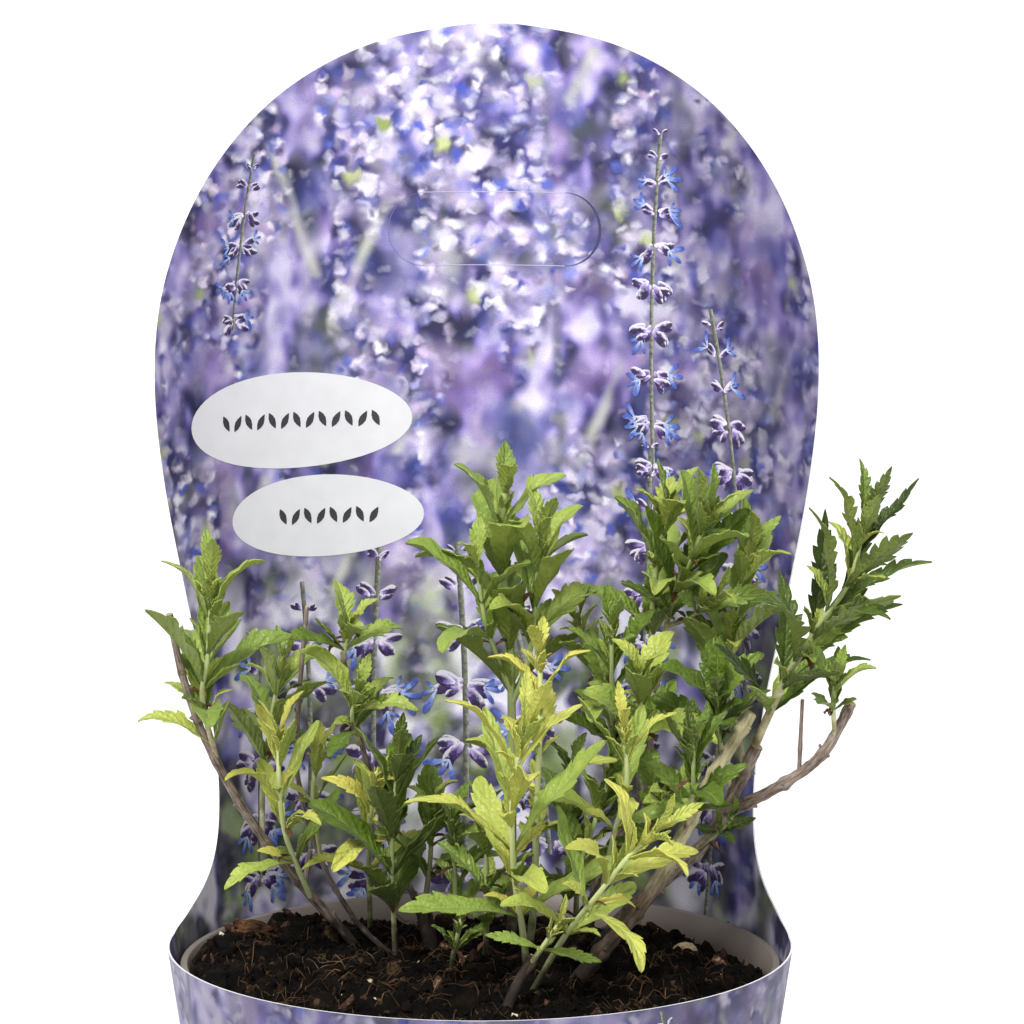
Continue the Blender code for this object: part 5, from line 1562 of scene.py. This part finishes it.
    # Leaves far behind, low down between the spikes.
    for name, tones, stops in (
            ("pale leaves", "pale leaf tones", [(0.38, "#403C5A"), (0.45, "#B3AED0"), (0.53, "#F8F6FC")]),
            ("green leaves", "green leaf tones", [(0.38, "#171C16"), (0.50, "#3F4C34"), (0.64, "#96A868")])):
        there = node(tree, "Math", {0: clouds[name], 1: low}, operation="MULTIPLY")
        tint = node(tree, "ValToRGB", {"Fac": clouds[tones]}, stops=stops)
        colour = node(tree, "Mix", {0: there, 6: colour, 7: tint}, out=2, data_type="RGBA")
    # Soft discs of light, from large and faint to small and clear.
    for size, tall, chosen, most, where, shift, tints in (
            (15.0, 1.1, 0.60, 0.9, thin, 0.171, ("#EEE8F6", "#CDBFE6", "#2F2A58", "#434C98", "#D3BDE0")),
            (11.0, 1.0, 0.60, 0.9, thin, 0.713, ("#36316A", "#E4DAF1", "#8672B4", "#F0EAF8", "#4C58A8")),
            (9.6, 0.9, 0.60, 0.9, columns, 0.237, ("#F3EFFA", "#E0D6F0", "#3A3468", "#2C2858", "#DCC8E6")),
            (8.4, 0.85, 0.60, 0.9, columns, 0.353, ("#F8F6FD", "#EAE2F6", "#7482D6", "#393672", "#EFE2F2")),
            (7.4, 0.85, 0.60, 0.9, columns, 0.489, ("#37336B", "#F4EFFB", "#DCD0EE", "#F9F7FE", "#6A76CC")),
            (6.6, 0.8, 0.55, 0.9, columns, 0.613, ("#FCFBFF", "#34306A", "#5568C8", "#EDE3F6", "#F6EDF8")),
            (5.6, 0.8, 0.50, 0.9, thin, 0.831, ("#FCFBFF", "#2E2A5C", "#F2ECFA", "#3D4A9C", "#F6EDF8")),
            (10.0, 1.0, 0.06, 1.0, thin, 0.557, ("#B9C777", "#8F9E62", "#DDE2B8", "#C8D08C", "#A9B477"))):
        spot = node(tree, "VectorMath", {0: loose, 1: (1.0, 1.0 / tall, 1.0), 2: (shift, shift * 3, 0)},
                    operation="MULTIPLY_ADD")
        cells = node(tree, "TexVoronoi", {"Vector": spot, "Scale": per_mm(size), "Randomness": 0.6},
                     out=None, voronoi_dimensions="2D")
        chance, pick, _ = node(tree, "SeparateColor", {0: cells.outputs["Color"]}, out=None).outputs
        disc = node(tree, "MapRange", {"Value": cells.outputs["Distance"], "From Min": 0.45,
                                       "From Max": 0.04, "To Max": most}, interpolation_type="SMOOTHSTEP")
        lit = node(tree, "Math", {0: chance, 1: chosen}, operation="LESS_THAN")
        for factor in (lit, where):
            disc = node(tree, "Math", {0: disc, 1: factor}, operation="MULTIPLY")
        stops = [(0.05 + 0.225 * place, tint) for place, tint in enumerate(tints)]
        tint = node(tree, "ValToRGB", {"Fac": pick}, stops=stops)
        colour = node(tree, "Mix", {0: disc, 6: colour, 7: tint}, out=2, data_type="RGBA")
    # The picture's left and right ends and the front of the sleeve are printed darker.
    held = node(tree, "MapRange", {"Value": low, "To Min": 1.0, "To Max": 0.55})
    for begin, full, most in ((-0.02, -0.11, 0.20), (0.01, 0.09, 0.52), (0.18, 0.20, 0.12)):
        edge = node(tree, "MapRange", {"Value": aside, "From Min": begin, "From Max": full, "To Max": most},
                    interpolation_type="SMOOTHSTEP")
        edge = node(tree, "Math", {0: edge, 1: held}, operation="MULTIPLY")
        colour = node(tree, "Mix", {0: edge, 6: colour, 7: "#241F40"}, out=2, data_type="RGBA")
    colour = node(tree, "Gamma", {0: colour, 1: 1.22})
    grit = node(tree, "MapRange", {"Value": clouds["grit"], "To Min": 0.88, "To Max": 1.34})
    colour = node(tree, "VectorMath", {0: colour, "Scale": grit}, operation="SCALE")
    tree.links.new(colour, shader.inputs["Base Color"])
    return made


# The core of the card is pressed wood pulp: white, matt, with a fine grain.
core = grained("card_core", [(0.3, "#E9E8EC"), (0.7, "#F8F8FA")], 0.7, Roughness=0.8)
sleeve = new_piece("card_sleeve", corners, faces, [petal_print(), core])
layer = sleeve.data.uv_layers.new(name="print")
for face in sleeve.data.polygons:
    cut_edge = face.index >= 2 * len(flat_faces)
    group = 0 if cut_edge else groups[face.index % len(flat_faces)]
    face.material_index = 1 if cut_edge else 0
    for loop_index in face.loop_indices:
        angle, z = flat_spots[sleeve.data.loops[loop_index].vertex_index % count]
        layer.data[loop_index].uv = print_at(angle, z, group)
crease(sleeve, lambda edge: edge in rims)
face_outward(sleeve)
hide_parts("sleeve")
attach(sleeve, "root")

# What is printed sharply on the card: near flower spikes in an order of their own, two white ovals
# with rows of small leaf marks, and the die-cut lines of the hand hole, whose dark arcs are painted
# shadow. Flat shapes stand on points and one tree bends them round the card, a hair off its face, on
# the panel or on the front.
FLAT_ACROSS = (-1.0, -0.35, 0.35, 1.0)
CALYX = [(0.0, 0.12), (0.15, 0.30), (0.42, 0.46), (0.70, 0.48), (0.88, 0.38), (1.0, 0.12)]
PETAL = [(0.0, 0.06), (0.25, 0.16), (0.55, 0.30), (0.82, 0.34), (1.0, 0.12)]
LEAF_MARK = [(0.0, 0.05), (0.25, 0.34), (0.5, 0.44), (0.75, 0.30), (1.0, 0.04)]
OVAL_RINGS, OVAL_PARTS = 14, 56
# How near a floret may come to the cut edge, as an angle round the pot.
EDGE_MARGIN = math.radians(1.5)
# The hand hole: centre along the card and height, half width, half height.
HOLE = (0.7, 365.3, 35.5, 12.0)
# Each oval: place along the card, height, half width, half height, tilt in degrees, leaf marks.
OVALS = [(-68.9, 305.0, 42.4, 15.5, -2.3, 13), (-57.9, 273.2, 35.5, 13.3, -2.4, 8)]
# The leaf marks: size, distance from one to the next, distance of the two rows from the middle.
MARK_SIZE, MARK_GAP, MARK_RISE = 5.6, 4.7, 2.6
# Each spike on the panel: place along the card, heights of foot and top, lean, floret size in mm.
SPIKES = [
    (56, 286, 398, -0.06, 8.5), (-92, 336, 392, 0.10, 6.5), (96, 222, 342, -0.06, 9.5),
    (-38, 150, 268, -0.06, 11.5), (-9, 150, 262, 0.05, 12.0), (-84, 156, 236, 0.02, 10.5),
    (80, 140, 218, 0.08, 11.0), (52, 196, 296, 0.04, 9.5), (-64, 160, 250, 0.08, 10.5),
    (20, 160, 254, -0.08, 11.5),
]
FRONT_SPIKES = [(-78, 40, 150, 0.05, 9.0), (66, 30, 146, -0.05, 9.0), (8, 60, 140, 0.08, 8.5)]
STALK_PART = 4.0
shapes = bpy.data.collections.new("flat_shapes")


def flat_shape(name, spots, faces):
    """A flat shape: x, y, how far across and how far along, kept for the tree."""
    made = new_piece(name, [(spot[0] / MM, spot[1] / MM, 0.0) for spot in spots], faces, [])
    for key, place in (("across", 2), ("far", 3)):
        carry(made, key, [float(spot[place]) for spot in spots])
    bpy.context.scene.collection.objects.unlink(made)
    shapes.objects.link(made)


def rung_faces(rows):
    """Faces between rows of spots that each run across a flat shape."""
    wide = len(FLAT_ACROSS)
    return [(row * wide + k, row * wide + k + 1, row * wide + k + 1 + wide, row * wide + k + wide)
            for row in range(rows - 1) for k in range(wide - 1)]


def strip(rows):
    """Spots and faces of a strip that runs up y, from rows of height and half width."""
    spots = [(across * half / 2, y, across, y) for y, half in rows for across in FLAT_ACROSS]
    return spots, rung_faces(len(rows))


def disc(rings, parts):
    """Spots and faces of a round disc in rings."""
    spots = [(0.0, 0.0, 0.0, 0.0)]
    faces = [(0, 1 + k, 1 + (k + 1) % parts) for k in range(parts)]
    for ring in range(1, rings + 1):
        for k in range(parts):
            turn = 2 * math.pi * k / parts
            spots.append((ring / rings * math.cos(turn), ring / rings * math.sin(turn), 0.0, ring / rings))
        if ring < rings:
            low, high = 1 + (ring - 1) * parts, 1 + ring * parts
            faces += [(low + k, high + k, high + (k + 1) % parts, low + (k + 1) % parts)
                      for k in range(parts)]
    return spots, faces


def ribbon(points, widths, shade):
    """Spots and faces of a line of varying width and one shade."""
    spots = []
    for place, (x, y) in enumerate(points):
        before, after = points[max(0, place - 1)], points[min(len(points) - 1, place + 1)]
        ahead = Vector((after[0] - before[0], after[1] - before[1])).normalized()
        for across in FLAT_ACROSS:
            shift = across * widths[place] / 2
            spots.append((x - ahead.y * shift, y + ahead.x * shift, across, shade))
    return spots, rung_faces(len(points))


def hole_lines():
    """Painted shadow and creases of the hand hole: a dark arc at each cut end for the shade in the gap, a
    pale crease above and below.
    """
    half_width, half_height = HOLE[2], HOLE[3]
    straight = half_width - half_height
    ribbons = []
    # The arcs are painted shadow of the gap at the cut ends; the right one widens to a dark crescent where
    # the flap has sprung back.
    for side, widest, shade in ((-1, 0.12, 0.45), (1, 0.85, 0.0)):
        turns = [math.pi * (k / 24 - 0.5) for k in range(25)]
        arc = [(side * (straight + half_height * math.cos(turn)), half_height * math.sin(turn))
               for turn in turns]
        ribbons.append(ribbon(arc, [0.10 + widest * math.cos(turn) ** 1.5 for turn in turns], shade))
    for height in (-half_height, half_height):
        line = [(straight * (k / 10 - 1), height) for k in range(21)]
        ribbons.append(ribbon(line, [0.22] * 21, 1.0))
    spots, faces = [], []
    for more_spots, more_faces in ribbons:
        faces += [tuple(corner + len(spots) for corner in face) for face in more_faces]
        spots += more_spots
    return spots, faces


# The numbers in these names are the kinds that points ask for.
flat_shape("shape_0_calyx", *strip(CALYX))
flat_shape("shape_1_petal", *strip(PETAL))
flat_shape("shape_2_stalk", *strip([(k / 4, 1.0) for k in range(5)]))
flat_shape("shape_3_oval", *disc(OVAL_RINGS, OVAL_PARTS))
flat_shape("shape_4_mark", *strip(LEAF_MARK))
flat_shape("shape_5_hole", *hole_lines())
IS_CALYX, IS_PETAL, IS_STALK, IS_OVAL, IS_MARK, IS_HOLE = range(6)

wrapping, given, result = new_tree("printed_on_card", [
    ("Shapes", "Collection"), ("Side", "Float"), ("Material", "Material")])
put = {key: node(wrapping, "GeometryNodeInputNamedAttribute", {"Name": key}, data_type=kind)
       for key, kind in (("size", "FLOAT_VECTOR"), ("turn", "FLOAT"), ("kind", "FLOAT"))}
templates = node(wrapping, "GeometryNodeCollectionInfo", {
    "Collection": given["Shapes"], "Separate Children": True})
turned_to = node(wrapping, "CombineXYZ", {"Z": put["turn"]})
laid = node(wrapping, "GeometryNodeInstanceOnPoints", {
    "Points": given["Geometry"], "Instance": templates, "Pick Instance": True,
    "Instance Index": put["kind"], "Rotation": turned_to, "Scale": put["size"]})
laid = node(wrapping, "GeometryNodeRealizeInstances", {"Geometry": laid})
flat = node(wrapping, "GeometryNodeInputPosition")
aside, height, lift = node(wrapping, "SeparateXYZ", {0: flat}, out=None).outputs
inner = node(wrapping, "Math", {0: height, 1: CARD_SLOPE, 2: CARD_EDGE_RADIUS - CARD_SLOPE * CARD_EDGE_Z},
             operation="MULTIPLY_ADD")
around = node(wrapping, "Math", {0: aside, 1: inner}, operation="DIVIDE")
around = node(wrapping, "Math", {0: around, 1: CARD_TURN}, operation="ADD")
around = node(wrapping, "Math", {0: given["Side"], 1: math.pi, 2: around}, operation="MULTIPLY_ADD")
facing = node(wrapping, "Math", {0: given["Side"], 1: 2.0, 2: -1.0}, operation="MULTIPLY_ADD")
radius = node(wrapping, "Math", {0: given["Side"], 1: CARD, 2: inner}, operation="MULTIPLY_ADD")
radius = node(wrapping, "Math", {0: lift, 1: facing, 2: radius}, operation="MULTIPLY_ADD")
sine = node(wrapping, "Math", {0: around}, operation="SINE")
cosine = node(wrapping, "Math", {0: around}, operation="COSINE")
x, y = [node(wrapping, "Math", {0: radius, 1: part}, operation="MULTIPLY") for part in (sine, cosine)]
bent = node(wrapping, "CombineXYZ", {0: x, 1: y, 2: height})
bent = node(wrapping, "VectorMath", {0: bent, "Scale": MM}, operation="SCALE")
laid = node(wrapping, "GeometryNodeSetPosition", {"Geometry": laid, "Position": bent})
laid = node(wrapping, "GeometryNodeSetMaterial", {"Geometry": laid, "Material": given["Material"]})
wrapping.links.new(laid, result[0])


def spike_points(spikes, draw):
    """Stalk, calyxes and open flowers of some spikes: place, size, turn, kind, chance of each."""
    made = []
    for x, foot, top, lean, size in spikes:
        bow = draw.uniform(-0.0012, 0.0012)

        def centre(z):
            """How far along the card the spike's middle line is at a height."""
            return x + lean * (z - foot) + bow * (z - foot) ** 2

        z = foot
        while z < top:
            ahead = math.atan2(centre(z + STALK_PART) - centre(z), STALK_PART)
            made.append(((centre(z), z, 0.05), (1.3 * size / 8, 4.3, 1.0), -ahead, IS_STALK, draw.random()))
            z += STALK_PART
        z = foot + 3.0
        while z < top:
            left = (top - z) / (top - foot)
            full = min(1.0, 0.42 + left * 1.5)
            for count in range(round(3 + 10 * min(1.0, left * 2.5))):
                side = (-1, 1)[count % 2]
                droop = draw.uniform(0.8, 1.5) if left < 0.25 else draw.uniform(1.2, 2.9)
                length = size * full * draw.uniform(0.52, 0.80)
                out = side * draw.uniform(0.02, 0.30) * size * full
                root = (centre(z) + out, z + draw.uniform(-1.4, 2.0) * full, 0.08 + 0.010 * count)
                made.append((root, (length * draw.uniform(0.80, 1.05), length, 1.0), -side * droop,
                             IS_CALYX, draw.random()))
                if draw.random() < 0.15 * full and left > 0.12:
                    # An open flower at the cup's end: three petals spread from one point.
                    place = (root[0] + 0.8 * length * side * math.sin(droop),
                             root[1] + 0.8 * length * math.cos(droop), 0.18 + 0.01 * count)
                    for spread in (-0.8, 0.05, 0.85):
                        petal = size * draw.uniform(0.35, 0.75)
                        made.append((place, (petal * 0.8, petal, 1.0), -side * (droop + spread),
                                     IS_PETAL, draw.random()))
            z += size * (0.80 + 0.95 * min(1.0, left * 1.6))
    return made


def on_card(item):
    """Whether a printed shape keeps inside the panel's cut edge."""
    (x, z, lift), size, turn = item[:3]
    reach = [(x, z), (x - size[1] * math.sin(turn), z + size[1] * math.cos(turn))]
    return all(abs(x) / card_radius(z) < card_half_angle(z) - EDGE_MARGIN for x, z in reach)


def print_piece(name, items, side, look):
    """Lays printed shapes on the panel or the front, as a piece of the sleeve."""
    places, sizes, turns, kinds, chances = zip(*items)
    points = new_piece(name + "_points", [(0, 0, 0)] * len(items), [], [])
    for corner, place in zip(points.data.vertices, places):
        corner.co = place
    carry(points, "size", [float(part) for size in sizes for part in size], "FLOAT_VECTOR")
    for key, values in (("turn", turns), ("kind", kinds), ("lit", [math.sin(turn) for turn in turns]),
                        ("chance", chances)):
        carry(points, key, [float(value) for value in values])
    made = grown(name, points, wrapping, {"Shapes": shapes, "Side": side, "Material": look})
    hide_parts("sleeve")
    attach(made, "root")


def flower_ink():
    """Printed florets: woolly pale rims, mauve to dark violet cups, blue petals, grey-green stalks."""
    made, tree, shader = new_material("flower_ink", Roughness=0.44, IOR=1.47)
    of = {name: node(tree, "Attribute", out="Fac", attribute_name=name)
          for name in ("across", "far", "lit", "kind", "chance")}
    place = node(tree, "TexCoord", out="Object")
    wool = node(tree, "TexNoise", {"Vector": place, "Scale": per_mm(1.3), "Detail": 3.0})
    deep = -0.35
    for part, share in ((of["far"], 0.8), (wool, 0.7), (of["chance"], 0.2)):
        deep = node(tree, "Math", {0: part, 1: share, 2: deep}, operation="MULTIPLY_ADD")
    cup = node(tree, "ValToRGB", {"Fac": deep}, stops=[
        (0.06, "#ECE7F2"), (0.24, "#A391C6"), (0.42, "#4B3675"), (0.64, "#261A40"), (0.95, "#4A3764")])
    upper = node(tree, "Math", {0: wool, 1: 1.2}, operation="MULTIPLY")
    upper = node(tree, "Math", {0: of["across"], 1: of["lit"], 2: upper}, operation="MULTIPLY_ADD")
    rim = node(tree, "MapRange", {"Value": upper, "From Min": 0.72, "From Max": 1.12, "To Max": 0.85})
    cup = node(tree, "Mix", {0: rim, 6: cup, 7: "#E8E3EE"}, out=2, data_type="RGBA")
    blue = node(tree, "Math", {0: wool, 1: 0.9, 2: of["far"]}, operation="MULTIPLY_ADD")
    blue = node(tree, "Math", {0: blue, 1: 0.55}, operation="MULTIPLY")
    petal = node(tree, "ValToRGB", {"Fac": blue}, stops=[
        (0.2, "#CFD7EE"), (0.42, "#8FA3DA"), (0.62, "#5468B8"), (0.85, "#34468E")])
    stalk = node(tree, "Math", {0: of["across"], 1: 0.3, 2: wool}, operation="MULTIPLY_ADD")
    stalk = node(tree, "ValToRGB", {"Fac": stalk}, stops=[
        (0.3, "#4E5047"), (0.6, "#7B7D70"), (0.9, "#A9AB9F")])
    colour = cup
    for kind, ink in ((IS_PETAL, petal), (IS_STALK, stalk)):
        chosen = node(tree, "Math", {0: of["kind"], 1: float(kind)}, operation="COMPARE")
        colour = node(tree, "Mix", {0: chosen, 6: colour, 7: ink}, out=2, data_type="RGBA")
    tree.links.new(colour, shader.inputs["Base Color"])
    return made


# Even inks under the satin varnish, the near-black marks a little drier; at the hand hole a painted
# shadow lies dark where the flap has sprung away, and the line is pale where the card is only creased.
ink = flower_ink()
oval_white = grained("oval_white", [(0.3, "#DCDCDF"), (0.7, "#E3E3E6")], 9, Roughness=0.44, IOR=1.47)
mark_dark = grained("mark_dark", [(0.3, "#2E2E33"), (0.7, "#3C3C42")], 0.8, Roughness=0.5, IOR=1.47)
# A ramp from dark painted shadow in the cut gaps to the pale of the creases.
cut_line, tree, shader = new_material("cut_line", Roughness=0.7)
far = node(tree, "Attribute", out="Fac", attribute_name="far")
tone = node(tree, "ValToRGB", {"Fac": far}, stops=[(0.0, "#3A3760"), (0.4, "#6C689A"), (0.9, "#C2BBDD")])
tree.links.new(tone, shader.inputs["Base Color"])

draw = random.Random("printed spikes")
print_piece("printed_spikes", [item for item in spike_points(SPIKES, draw) if on_card(item)], 0.0, ink)
print_piece("printed_spikes_front", spike_points(FRONT_SPIKES, draw), 1.0, ink)
ovals, marks = [], []
for x, z, half_width, half_height, tilt, mark_count in OVALS:
    lean = math.radians(tilt)
    ovals.append(((x, z, 0.13), (half_width, half_height, 1.0), lean, IS_OVAL, 0.5))
    for count in range(mark_count):
        shift = (count - (mark_count - 1) / 2) * MARK_GAP
        up = MARK_RISE if count % 2 else -MARK_RISE
        spot = (x + shift * math.cos(lean) + 0.5, z + shift * math.sin(lean) - up, 0.20)
        turn = lean - (0.5 if count % 2 else math.pi - 0.5)
        marks.append((spot, (MARK_SIZE, MARK_SIZE, 1.0), turn, IS_MARK, 0.5))
print_piece("printed_ovals", ovals, 0.0, oval_white)
print_piece("printed_marks", marks, 0.0, mark_dark)
# The hand hole's dark arcs are painted shadow, its straight lines pale creases.
print_piece("hand_hole_lines", [((*HOLE[:2], 0.12), (1.0, 1.0, 1.0), 0.0, IS_HOLE, 0.5)], 0.0, cut_line)
for template in list(shapes.objects):
    bpy.data.objects.remove(template, do_unlink=True)
bpy.data.collections.remove(shapes)
